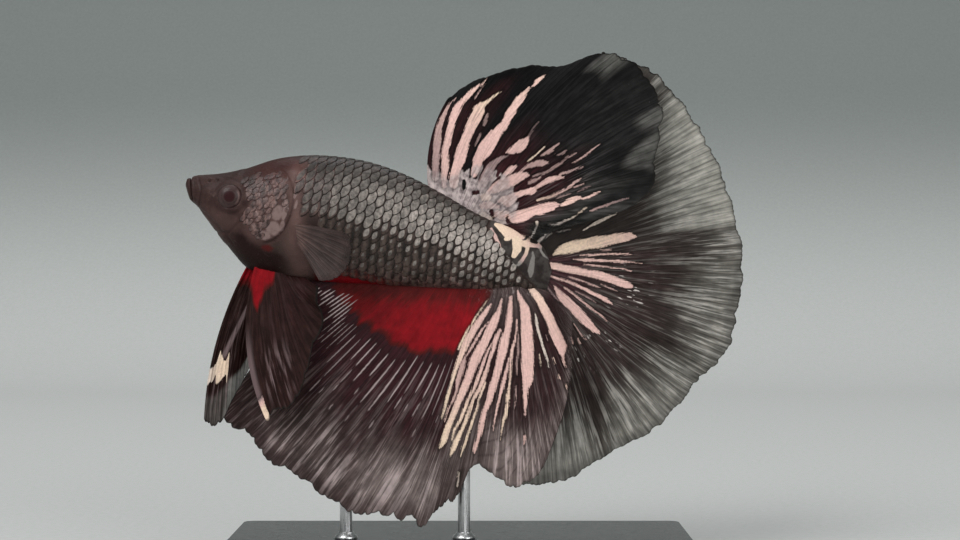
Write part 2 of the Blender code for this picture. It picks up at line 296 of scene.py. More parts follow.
class Graph:
    """Short way to write a shader's nodes.

    Args:
        tree: The node tree to write in.
    """

    def __init__(self, tree: bpy.types.NodeTree) -> None:
        """Keeps the tree."""
        self.tree = tree

    def node(self, kind: str, inputs: dict | None = None, **settings: object) -> bpy.types.Node:
        """New node with its settings and inputs.

        Args:
            kind: Node type without the ShaderNode prefix.
            inputs: Values or sockets by input name or number.
            **settings: Properties of the node.

        Returns:
            The node.
        """
        made = self.tree.nodes.new(kind if kind.startswith("Node") else "ShaderNode" + kind)
        for key, value in settings.items():
            setattr(made, key, value)
        for key, value in (inputs or {}).items():
            self.feed(made.inputs[key], value)
        return made

    def feed(self, socket: bpy.types.NodeSocket, value: Feed) -> None:
        """Links or sets an input.

        Args:
            socket: The input.
            value: Socket to link to it, or plain value for it.
        """
        if isinstance(value, bpy.types.NodeSocket):
            self.tree.links.new(value, socket)
        elif isinstance(value, tuple) and len(value) == 3 and socket.type == "RGBA":
            socket.default_value = (*value, 1.0)
        else:
            socket.default_value = value

    def mask(self, name: str) -> bpy.types.NodeSocket:
        """Value that the mesh carries under this name."""
        return self.node("Attribute", attribute_name=name).outputs["Fac"]

    def math(self, operation: str, a: Feed, b: Feed, c: Feed = 0.0) -> bpy.types.NodeSocket:
        """Result of one calculation."""
        return self.node("Math", {0: a, 1: b, 2: c}, operation=operation).outputs[0]

    def times(self, a: Feed, b: Feed) -> bpy.types.NodeSocket:
        """Product of two values."""
        return self.math("MULTIPLY", a, b)

    def plus(self, a: Feed, b: Feed) -> bpy.types.NodeSocket:
        """Sum of two values."""
        return self.math("ADD", a, b)

    def most(self, a: Feed, b: Feed) -> bpy.types.NodeSocket:
        """Larger of two values."""
        return self.math("MAXIMUM", a, b)

    def scaled(self, value: Feed, factor: Feed, shift: Feed) -> bpy.types.NodeSocket:
        """Value times a factor, plus a shift."""
        return self.math("MULTIPLY_ADD", value, factor, shift)

    def rest(self, share: Feed) -> bpy.types.NodeSocket:
        """What a share leaves of 1."""
        return self.math("SUBTRACT", 1.0, share)

    def shade(self, colour: Feed, light: Feed) -> bpy.types.NodeSocket:
        """Colour darkened or lightened by a factor."""
        return self.mix(1.0, colour, light, "MULTIPLY")

    def mix(self, share: Feed, a: Feed, b: Feed, blend_type: str = "MIX") -> bpy.types.NodeSocket:
        """Colour mix from a to b.

        Args:
            share: How much of b shows.
            a: First colour.
            b: Second colour.
            blend_type: Way of mixing.

        Returns:
            The mixed colour.
        """
        inputs = {0: share, 6: a, 7: b}
        made = self.node("Mix", inputs, data_type="RGBA", blend_type=blend_type)
        return made.outputs[2]

    def step(self, value: Feed, low: float, high: float, to: Point = (0.0, 1.0)) -> bpy.types.NodeSocket:
        """Smooth step of a value.

        Args:
            value: Value to read.
            low: Where the step starts.
            high: Where it ends.
            to: Results at the two ends.

        Returns:
            The stepped value.
        """
        inputs = {"Value": value, "From Min": low, "From Max": high, "To Min": to[0], "To Max": to[1]}
        return self.node("MapRange", inputs, interpolation_type="SMOOTHSTEP").outputs["Result"]

    def noise(
        self,
        scale: float,
        detail: float = 2.0,
        stretch: Colour | None = None,
        place: bpy.types.NodeSocket | None = None,
    ) -> bpy.types.NodeSocket:
        """Random field, its blobs 1 / scale long.

        Args:
            scale: Blobs in one unit of place.
            detail: Octaves of finer noise.
            stretch: Factors on the three coordinates, for a drawn-out grain.
            place: Coordinates to read it at; the object's own metres if left out.

        Returns:
            Value around 0.5.
        """
        place = place or self.node("TexCoord").outputs["Object"]
        if stretch:
            place = self.node("Mapping", {"Vector": place, "Scale": stretch}).outputs[0]
        inputs = {"Vector": place, "Scale": scale, "Detail": detail, "Roughness": 0.55}
        return self.node("TexNoise", inputs).outputs["Fac"]


class PaintGroup:
    """Reusable effect with named inputs and outputs.

    Args:
        name: Name of the effect.
        inputs: Input names with their defaults, a number or a colour.
        outputs: Output names with their socket types.
    """

    def __init__(self, name: str, inputs: dict[str, float | Colour], outputs: dict[str, str]) -> None:
        """Makes the empty group with its sockets."""
        self.tree = bpy.data.node_groups.new(name, "ShaderNodeTree")
        self.graph = Graph(self.tree)
        for key, value in inputs.items():
            kind = "NodeSocketColor" if isinstance(value, tuple) else "NodeSocketFloat"
            socket = self.tree.interface.new_socket(key, in_out="INPUT", socket_type=kind)
            socket.default_value = (*value, 1.0) if isinstance(value, tuple) else value
        for key, kind in outputs.items():
            self.tree.interface.new_socket(key, in_out="OUTPUT", socket_type=kind)
        self.given = self.graph.node("NodeGroupInput").outputs
        self.result = self.graph.node("NodeGroupOutput").inputs

    def put(self, output: str, value: Feed) -> None:
        """Feeds one of the effect's outputs."""
        self.graph.feed(self.result[output], value)

    def use(self, graph: Graph, inputs: dict[str, Feed]) -> bpy.types.NodeOutputs:
        """Places the effect in a material.

        Args:
            graph: The material's nodes.
            inputs: Values or sockets by input name.

        Returns:
            The effect's outputs.
        """
        made = graph.node("Group", node_tree=self.tree)
        for key, value in inputs.items():
            graph.feed(made.inputs[key], value)
        return made.outputs


@dataclass(frozen=True)
class Finish:
    """Shared base of the materials.

    Args:
        name: Name of the material.
        roughness: How matt the surface is.
        coat: Strength of a clear wet layer over it.
        coat_roughness: How matt that layer is.
        specular: Strength of its plain reflection.
    """

    name: str
    roughness: float = 0.45
    coat: float = 0.0
    coat_roughness: float = 0.12
    specular: float = 0.5

    def start(self) -> tuple[bpy.types.Material, Graph, bpy.types.NodeInputs]:
        """New material with its node helper and its Principled inputs.

        Returns:
            The material, its nodes and the shader's inputs.
        """
        material = bpy.data.materials.new(self.name)
        material.use_nodes = True
        graph = Graph(material.node_tree)
        shader = material.node_tree.nodes["Principled BSDF"].inputs
        shader["Roughness"].default_value = self.roughness
        shader["Coat Weight"].default_value = self.coat
        shader["Coat Roughness"].default_value = self.coat_roughness
        shader["Specular IOR Level"].default_value = self.specular
        return material, graph, shader

    def bump(
        self,
        graph: Graph,
        shader: bpy.types.NodeInputs,
        height: bpy.types.NodeSocket,
        depth: float,
        strength: float = 1.0,
    ) -> None:
        """Adds fine relief.

        Args:
            graph: The material's nodes.
            shader: Principled inputs.
            height: Relief value.
            depth: Height in metres of one unit of it.
            strength: Share of the effect.
        """
        inputs = {"Height": height, "Distance": depth, "Strength": strength}
        graph.feed(shader["Normal"], graph.node("Bump", inputs).outputs["Normal"])


@dataclass(frozen=True)
class Pigments:
    """Colours of the fish, in linear light."""

    brown: Colour = (0.0335, 0.0178, 0.0158)
    umber: Colour = (0.045, 0.0245, 0.0215)
    bark: Colour = (0.033, 0.0215, 0.018)
    taupe: Colour = (0.076, 0.056, 0.046)
    # near-black: dark pigment, and also the painted shade of the head's creases and the painted shadow
    # behind the pectoral fin
    ink: Colour = (0.0115, 0.0042, 0.0038)
    red: Colour = (0.205, 0.0035, 0.0075)
    garnet: Colour = (0.066, 0.0065, 0.0058)
    rust: Colour = (0.052, 0.0145, 0.012)
    mauve: Colour = (0.122, 0.07, 0.063)
    silver: Colour = (0.234, 0.212, 0.19)
    stone: Colour = (0.056, 0.048, 0.045)
    ash: Colour = (0.29, 0.265, 0.245)
    lilac: Colour = (0.21, 0.146, 0.138)
    seam: Colour = (0.012, 0.0095, 0.008)
    cream: Colour = (0.83, 0.635, 0.48)
    pink: Colour = (0.74, 0.48, 0.43)
    pearl: Colour = (0.48, 0.4, 0.385)
    pewter: Colour = (0.19, 0.15, 0.152)
    white: Colour = (0.76, 0.68, 0.64)
    dusk: Colour = (0.27, 0.19, 0.188)
    rose: Colour = (0.52, 0.315, 0.315)


PIGMENTS = Pigments()
BODY_MASKS = ("red", "ink", "mauve", "rust", "flank", "stone")


def body_paint() -> PaintGroup:
    """Ground colour of the body, shared by the skin and its scales.

    Returns:
        The node group.
    """
    inputs = {name.title(): 0.0 for name in BODY_MASKS}
    group = PaintGroup("body_paint", inputs, {"Colour": "NodeSocketColor", "Mottle": "NodeSocketFloat"})
    g, given = group.graph, group.given
    mottle = g.noise(1400.0, 4.0)
    ground = g.mix(g.step(mottle, 0.35, 0.65), PIGMENTS.brown, PIGMENTS.umber)
    ground = g.mix(given["Flank"], ground, PIGMENTS.bark)
    ground = g.mix(given["Rust"], ground, PIGMENTS.rust)
    ground = g.mix(given["Mauve"], ground, PIGMENTS.mauve)
    # near-black of throat, crown and back ridge, and the painted shadow of the pectoral fin on the flank
    ground = g.mix(given["Ink"], ground, PIGMENTS.ink)
    marbled = g.mix(g.step(g.noise(900.0, 4.0), 0.4, 0.62), PIGMENTS.stone, (0.025, 0.0195, 0.018))
    ground = g.mix(given["Stone"], ground, marbled)
    worn = g.plus(given["Red"], g.scaled(mottle, 0.5, -0.25))
    red = g.mix(g.step(worn, 0.35, 1.00), PIGMENTS.garnet, PIGMENTS.red)
    ground = g.mix(g.step(worn, 0.08, 0.45), ground, red)
    shade = g.step(g.noise(420.0, 3.0), 0.25, 0.75, (0.82, 1.16))
    group.put("Colour", g.shade(ground, shade))
    group.put("Mottle", mottle)
    return group


@dataclass(frozen=True)
class SkinFinish(Finish):
    """Smooth wet skin of the head and the ground under the scales."""

    def make(self, paint: PaintGroup) -> bpy.types.Material:
        """Builds the material.

        Args:
            paint: Ground colour of the body.

        Returns:
            The material.
        """
        material, g, shader = self.start()
        masks = {name.title(): g.mask(name) for name in BODY_MASKS}
        ground = paint.use(g, masks)
        pores = g.noise(6500.0, 2.0)
        colour = g.mix(g.step(pores, 0.55, 0.8, (0.0, 0.22)), ground["Colour"], PIGMENTS.mauve)
        # painted shade in the head's creases, pits, eye socket and gill slit
        colour = g.mix(g.mask("crease"), colour, PIGMENTS.ink)
        blots = g.scaled(g.noise(1500.0, 3.0), 1.5, -0.75)
        plates = g.step(g.plus(g.mask("sheen"), blots), 0.15, 1.1, (0.0, 0.85))
        colour = g.mix(plates, colour, PIGMENTS.lilac)
        uneven = g.plus(g.mask("pale"), g.scaled(ground["Mottle"], 0.2, -0.1))
        band = g.mix(g.step(g.mask("tint"), 0.0, 1.0), PIGMENTS.pink, PIGMENTS.cream)
        band = g.mix(g.step(g.mask("tint"), 0.3, -0.6), band, PIGMENTS.ash)
        band = g.shade(band, g.step(pores, 0.3, 0.7, (0.86, 1.06)))
        shown = g.times(g.step(uneven, -0.05, 0.07), g.mask("solid"))
        colour = g.mix(shown, colour, band)
        g.feed(shader["Base Color"], colour)
        g.feed(shader["Roughness"], g.step(pores, 0.3, 0.8, (self.roughness - 0.08, self.roughness + 0.1)))
        self.bump(g, shader, g.plus(pores, ground["Mottle"]), 0.00005)
        return material


@dataclass(frozen=True)
class ScaleFinish(Finish):
    """Silver scale with a dark seam round the part that shows.

    Args:
        silver: Colour of the part that gleams.
        border: How dark the seam is.
        flecked: Whether it gleams in flecks instead of as one plate.
    """

    silver: Colour = PIGMENTS.silver
    border: float = 0.95
    flecked: bool = False

    def make(self, paint: PaintGroup) -> bpy.types.Material:
        """Builds the material.

        Args:
            paint: Ground colour of the body.

        Returns:
            The material.
        """
        material, g, shader = self.start()
        masks = {name.title(): g.mask(name) for name in BODY_MASKS}
        ground = paint.use(g, masks)
        grain = g.noise(5200.0, 3.0)
        blots = g.noise(2300.0, 3.0)
        upright = g.noise(1300.0, 3.0, (1.0, 1.0, 0.22))
        cell = g.scaled(blots, 0.5, g.plus(g.mask("cell"), -0.25))
        show = g.step(cell, 1.1, 0.9)
        lit = g.mix(g.step(grain, 0.3, 0.7, (0.0, 0.35)), self.silver, PIGMENTS.lilac)
        lit = g.mix(g.mask("mauve"), lit, PIGMENTS.mauve)
        shade = g.times(g.mask("tone"), g.step(blots, 0.35, 0.65, (0.66, 1.28)))
        shade = g.times(shade, g.step(upright, 0.38, 0.62, (0.78, 1.16)))
        lit = g.shade(lit, shade)
        if self.flecked:
            flecks = g.step(g.noise(1500.0, 3.0), 0.42, 0.64, (0.05, 0.8))
            show = g.times(flecks, g.step(cell, 1.7, 0.9))
        # no silver on the red, on the near-black, or in the painted shadow behind the pectoral fin
        show = g.times(show, g.rest(g.most(g.mask("red"), g.mask("ink"))))
        border = g.times(g.mask("seam"), g.rest(g.mask("red")))
        streaks = g.step(upright, 0.38, 0.62, (0.45, 1.7))
        streaks = g.times(streaks, g.step(blots, 0.35, 0.65, (0.7, 1.3)))
        barred = g.shade(ground["Colour"], streaks)
        bar = g.times(g.mask("bar"), g.step(blots, 0.35, 0.6, (0.2, 0.9)))
        barred = g.mix(bar, barred, PIGMENTS.taupe)
        dark = g.mix(g.times(border, self.border), barred, PIGMENTS.seam)
        g.feed(shader["Base Color"], g.mix(show, dark, lit))
        g.feed(shader["Metallic"], g.times(show, 0.12))
        g.feed(shader["Roughness"], g.step(grain, 0.2, 0.8, (self.roughness - 0.08, self.roughness + 0.12)))
        self.bump(g, shader, grain, 0.00004)
        return material


@dataclass(frozen=True)
class EyeFinish(Finish):
    """Dark eye: red-black pupil, brown iris and a soft rim, paler behind.

    Args:
        pupil: Radius of the pupil in millimetres.
        iris: Radius where the iris ends.
    """

    pupil: float = 0.69
    iris: float = 1.4

    def make(self) -> bpy.types.Material:
        """Builds the material.

        Returns:
            The material.
        """
        material, g, shader = self.start()
        ring = g.mask("ring")
        rear = g.mask("rear")
        grain = g.noise(5200.0, 3.0)
        iris = g.mix(g.step(grain, 0.35, 0.7), (0.042, 0.024, 0.0225), (0.029, 0.016, 0.015))
        rim = g.times(g.step(ring, 0.98, 1.2), g.step(ring, 1.52, 1.36))
        rim = g.times(rim, g.scaled(rear, 0.88, 0.12))
        colour = g.mix(rim, iris, (0.135, 0.084, 0.079))
        bright = g.times(g.step(ring, 0.7, 0.78), g.step(ring, 0.95, 0.8))
        colour = g.mix(g.times(bright, 0.3), colour, (0.055, 0.028, 0.026))
        pupil = g.step(g.scaled(grain, 0.1, ring), self.pupil + 0.14, self.pupil - 0.04)
        colour = g.mix(pupil, colour, (0.022, 0.0035, 0.0045))
        colour = g.mix(g.step(ring, self.iris, self.iris + 0.12), colour, PIGMENTS.brown)
        g.feed(shader["Base Color"], colour)
        self.bump(g, shader, grain, 0.00002, 0.5)
        return material


FIN_MASKS = (
    "across", "along", "clear", "wine", "red", "base", "streak",
    "dash", "fleck", "pale", "tint", "solid", "edge", "ray",
)


def fin_paint() -> PaintGroup:
    """Layers of colour on a fin, from its membrane up to its dark rim.

    Returns:
        The node group.
    """
    colours = {
        "Membrane": (0.02, 0.018, 0.018),
        "Outer": (0.2, 0.19, 0.17),
        "Wine Colour": (0.05, 0.012, 0.018),
        "Ray Colour": (0.03, 0.025, 0.025),
        "Streak Colour": (0.4, 0.38, 0.36),
        "Rim Colour": (0.012, 0.011, 0.01),
    }
    masks = {name.title(): 0.0 for name in FIN_MASKS}
    outputs = {"Colour": "NodeSocketColor", "Cover": "NodeSocketFloat", "Grain": "NodeSocketFloat"}
    group = PaintGroup("fin_paint", {**colours, **masks}, outputs)
    g, given = group.graph, group.given
    place = g.node("CombineXYZ", {0: given["Across"], 1: given["Along"]}).outputs[0]
    grain = g.noise(3600.0, 4.0)
    lines = g.noise(1.0, 2.0, (1.0, 0.09, 1.0), place)
    hairs = g.noise(1.0, 2.0, (2.7, 0.3, 1.0), place)
    clear = g.times(given["Clear"], g.step(lines, 0.3, 0.66, (0.66, 1.12)))
    ground = g.mix(clear, given["Membrane"], given["Outer"])
    ground = g.mix(given["Wine"], ground, given["Wine Colour"])
    ground = g.mix(g.times(given["Ray"], 0.55), ground, given["Ray Colour"])
    calm = g.mix(
        given["Clear"], g.step(hairs, 0.34, 0.66, (0.68, 1.28)), g.step(hairs, 0.34, 0.66, (0.84, 1.12))
    )
    ground = g.shade(ground, calm)
    light = g.times(given["Streak"], g.step(g.scaled(hairs, 0.5, lines), 0.74, 0.92))
    ground = g.mix(light, ground, given["Streak Colour"])
    ragged = g.plus(given["Red"], g.scaled(hairs, 0.5, -0.25))
    red = g.mix(g.step(ragged, 0.4, 1.00), PIGMENTS.garnet, PIGMENTS.red)
    ground = g.mix(g.step(ragged, 0.12, 0.42), ground, red)
    mixed = g.scaled(hairs, 0.6, g.noise(1500.0, 3.0))
    silver = g.mix(g.step(mixed, 0.6, 0.98), PIGMENTS.pewter, PIGMENTS.pearl)
    flecks = g.plus(given["Base"], g.scaled(mixed, 0.9, -0.72))
    ground = g.mix(g.step(flecks, 0.25, 0.75), ground, silver)
    ground = g.shade(ground, g.step(g.noise(620.0, 3.0), 0.25, 0.75, (0.76, 1.24)))
    ground = g.mix(given["Dash"], ground, given["Streak Colour"])
    specks = g.step(g.noise(1.0, 1.0, (1.3, 0.7, 1.0), place), 0.63, 0.68)
    ground = g.mix(g.times(specks, given["Fleck"]), ground, PIGMENTS.white)
    uneven = g.scaled(grain, 0.3, g.scaled(hairs, 0.56, -0.43))
    inside = g.plus(given["Pale"], uneven)
    fine = g.noise(1.0, 1.0, (4.6, 0.22, 1.0), place)
    pale = g.times(g.step(inside, -0.05, 0.07), given["Solid"])
    halo = g.step(given["Pale"], -0.42, -0.06, (1.0, 0.62))
    ground = g.shade(ground, halo)
    pigment = g.mix(g.step(given["Tint"], 0.0, 1.0), PIGMENTS.pink, PIGMENTS.cream)
    pigment = g.mix(g.step(given["Tint"], 1.0, 2.0), pigment, PIGMENTS.white)
    pigment = g.mix(g.step(given["Tint"], 0.0, -1.0), pigment, PIGMENTS.dusk)
    blush = g.times(g.step(g.noise(1500.0, 3.0), 0.5, 0.72), 0.25)
    pigment = g.mix(blush, pigment, PIGMENTS.rose)
    pigment = g.shade(pigment, g.step(g.scaled(hairs, 0.5, grain), 0.5, 1.0, (0.86, 1.08)))
    pigment = g.shade(pigment, g.step(inside, -0.02, 0.24, (0.72, 1.0)))
    pigment = g.shade(pigment, g.step(fine, 0.56, 0.66, (1.0, 0.74)))
    pigment = g.mix(g.times(given["Base"], 0.8), pigment, silver)
    ground = g.mix(pale, ground, pigment)
    ground = g.mix(given["Edge"], ground, given["Rim Colour"])
    solid = g.most(pale, g.most(given["Edge"], g.most(given["Red"], given["Dash"])))
    group.put("Colour", ground)
    group.put("Cover", g.most(solid, g.times(given["Ray"], 0.5)))
    group.put("Grain", g.scaled(hairs, 0.6, grain))
    return group


@dataclass(frozen=True)
class FinFinish(Finish):
    """Thin fin membrane between its rays.

    Args:
        membrane: Colour near the body.
        outer: Colour of the clearer outer part.
        wine: Colour of its deep-toned part.
        ray: Colour of the rays.
        streak: Colour of pale marks along the rays.
        rim: Colour of the margin.
        inner_alpha: Cover of the dark part.
        outer_alpha: Cover of the clear part.
    """

    roughness: float = 0.5
    specular: float = 0.1
    membrane: Colour = (0.02, 0.018, 0.018)
    outer: Colour = (0.2, 0.19, 0.17)
    wine: Colour = (0.05, 0.012, 0.018)
    ray: Colour = (0.03, 0.025, 0.025)
    streak: Colour = (0.4, 0.38, 0.36)
    rim: Colour = (0.012, 0.011, 0.01)
    inner_alpha: float = 0.98
    outer_alpha: float = 0.76

    def make(self, paint: PaintGroup) -> bpy.types.Material:
        """Builds the material.

        Args:
            paint: Layers of colour shared by the fins.

        Returns:
            The material.
        """
        material, g, shader = self.start()
        inputs = {name.title(): g.mask(name) for name in FIN_MASKS}
        inputs |= {"Membrane": self.membrane, "Outer": self.outer, "Wine Colour": self.wine}
        inputs |= {"Ray Colour": self.ray, "Streak Colour": self.streak, "Rim Colour": self.rim}
        painted = paint.use(g, inputs)
        see_through = g.scaled(inputs["Clear"], self.outer_alpha - self.inner_alpha, self.inner_alpha)
        cover = g.most(see_through, painted["Cover"])
        g.feed(shader["Base Color"], painted["Colour"])
        g.feed(shader["Alpha"], g.times(cover, g.rest(g.mask("fade"))))
        matt = (self.roughness - 0.08, self.roughness + 0.12)
        g.feed(shader["Roughness"], g.step(painted["Grain"], 0.4, 1.2, matt))
        self.bump(g, shader, painted["Grain"], 0.00003)
        return material


@dataclass(frozen=True)
class AcrylicFinish(Finish):
    """Black gloss acrylic with faint dust and fine rubbing marks."""

    def make(self) -> bpy.types.Material:
        """Builds the material.

        Returns:
            The material.
        """
        material, g, shader = self.start()
        dust = g.step(g.noise(2600.0, 5.0), 0.62, 0.8)
        rubbed = g.noise(900.0, 3.0, (1.0, 9.0, 9.0))
        g.feed(shader["Base Color"], g.mix(dust, (0.011, 0.011, 0.012), (0.1, 0.1, 0.098)))
        g.feed(shader["Roughness"], g.step(rubbed, 0.3, 0.75, (self.roughness, self.roughness + 0.16)))
        self.bump(g, shader, rubbed, 0.000006)
        return material


@dataclass(frozen=True)
class SteelFinish(Finish):
    """Brushed stainless rod."""

    def make(self) -> bpy.types.Material:
        """Builds the material.

        Returns:
            The material.
        """
        material, g, shader = self.start()
        brushed = g.noise(9000.0, 3.0, (1.0, 1.0, 0.05))
        g.feed(shader["Base Color"], g.mix(brushed, (0.42, 0.42, 0.43), (0.7, 0.7, 0.7)))
        g.feed(shader["Roughness"], g.step(brushed, 0.3, 0.7, (self.roughness, self.roughness + 0.15)))
        shader["Metallic"].default_value = 1.0
        self.bump(g, shader, brushed, 0.00001)
        return material


# ---------------------------------------------------------------- patches and pale bands


@dataclass(frozen=True)
class Patch:
    """Soft oval patch of one pigment on the body.

    Args:
        centre: Distance from the snout and height of its middle.
        radii: Its half lengths.
        soft: Share of the radius over which its edge fades.
        power: How strong it is.
    """

    centre: Point
    radii: Point
    soft: float
    power: float = 1.0


def with_patches(ground: float | Array, along: Array, height: Array, patches: tuple[Patch, ...]) -> Array:
    """Lays patches over a pigment.

    Args:
        ground: Share of the pigment before.
        along: Distance from the snout.
        height: Height in the fish's own frame.
        patches: The patches.

    Returns:
        The larger share at each place.
    """
    for patch in patches:
        over = oval(along, height, patch.centre, patch.radii, patch.soft)
        ground = np.maximum(ground, patch.power * over)
    return ground


@dataclass(frozen=True)
class Stripe:
    """Pale band on the fins.

    Args:
        points: Distance from the snout, height and half width, from the band's root to its tip.
        tint: Colour at its root and tip: -1 dusky mauve, 0 pink, 1 cream, 2 white.
        strength: How solid it is.
    """

    points: tuple[tuple[float, float, float], ...]
    tint: Point = (0.0, 0.0)
    strength: float = 1.0

    def near(self, x: Array, z: Array) -> Array:
        """Places that lie close enough for the band to matter.

        Args:
            x: Distance from the snout.
            z: Height in the fish's own frame.

        Returns:
            Whether each place does.
        """
        table = np.array(self.points)
        spare = table[:, 2].max() + 0.8
        low, high = table[:, :2].min(0) - spare, table[:, :2].max(0) + spare
        return (x > low[0]) & (x < high[0]) & (z > low[1]) & (z < high[1])

    def inside(self, x: Array, z: Array) -> tuple[Array, Array]:
        """How far inside the band's edge each place lies, negative outside, and its share of the length.

        Args:
            x: Distance from the snout.
            z: Height in the fish's own frame.

        Returns:
            Millimetres inside the edge, and share of the band's length.
        """
        best, share = np.full(x.shape, -1.0), np.zeros(x.shape)
        for i, ((ax, az, wide), (bx, bz, wider)) in enumerate(zip(self.points, self.points[1:])):
            run, rise = bx - ax, bz - az
            t = np.clip(((x - ax) * run + (z - az) * rise) / (run**2 + rise**2), 0.0, 1.0)
            depth = blend(t, wide, wider) - np.hypot(x - ax - t * run, z - az - t * rise)
            share = np.where(depth > best, (i + t) / (len(self.points) - 1), share)
            best = np.maximum(best, depth)
        return best, share


@dataclass(frozen=True)
class Bands:
    """Pale bands that share one surface."""

    stripes: tuple[Stripe, ...]

    def masks(self, x: Array, z: Array) -> dict[str, Array]:
        """Distance inside the nearest band, its tint and how solid it is.

        Args:
            x: Distance from the snout.
            z: Height in the fish's own frame.

        Returns:
            Values by name.
        """
        pale, tint, solid = np.full(x.shape, -1.0), np.zeros(x.shape), np.ones(x.shape)
        for stripe in self.stripes:
            near = stripe.near(x, z)
            depth, share = stripe.inside(x[near], z[near])
            better = depth > pale[near]
            tint[near] = np.where(better, blend(ease(0.0, 1.0, share), *stripe.tint), tint[near])
            solid[near] = np.where(better, stripe.strength, solid[near])
            pale[near] = np.maximum(depth, pale[near])
        return {"pale": pale, "tint": tint, "solid": solid}


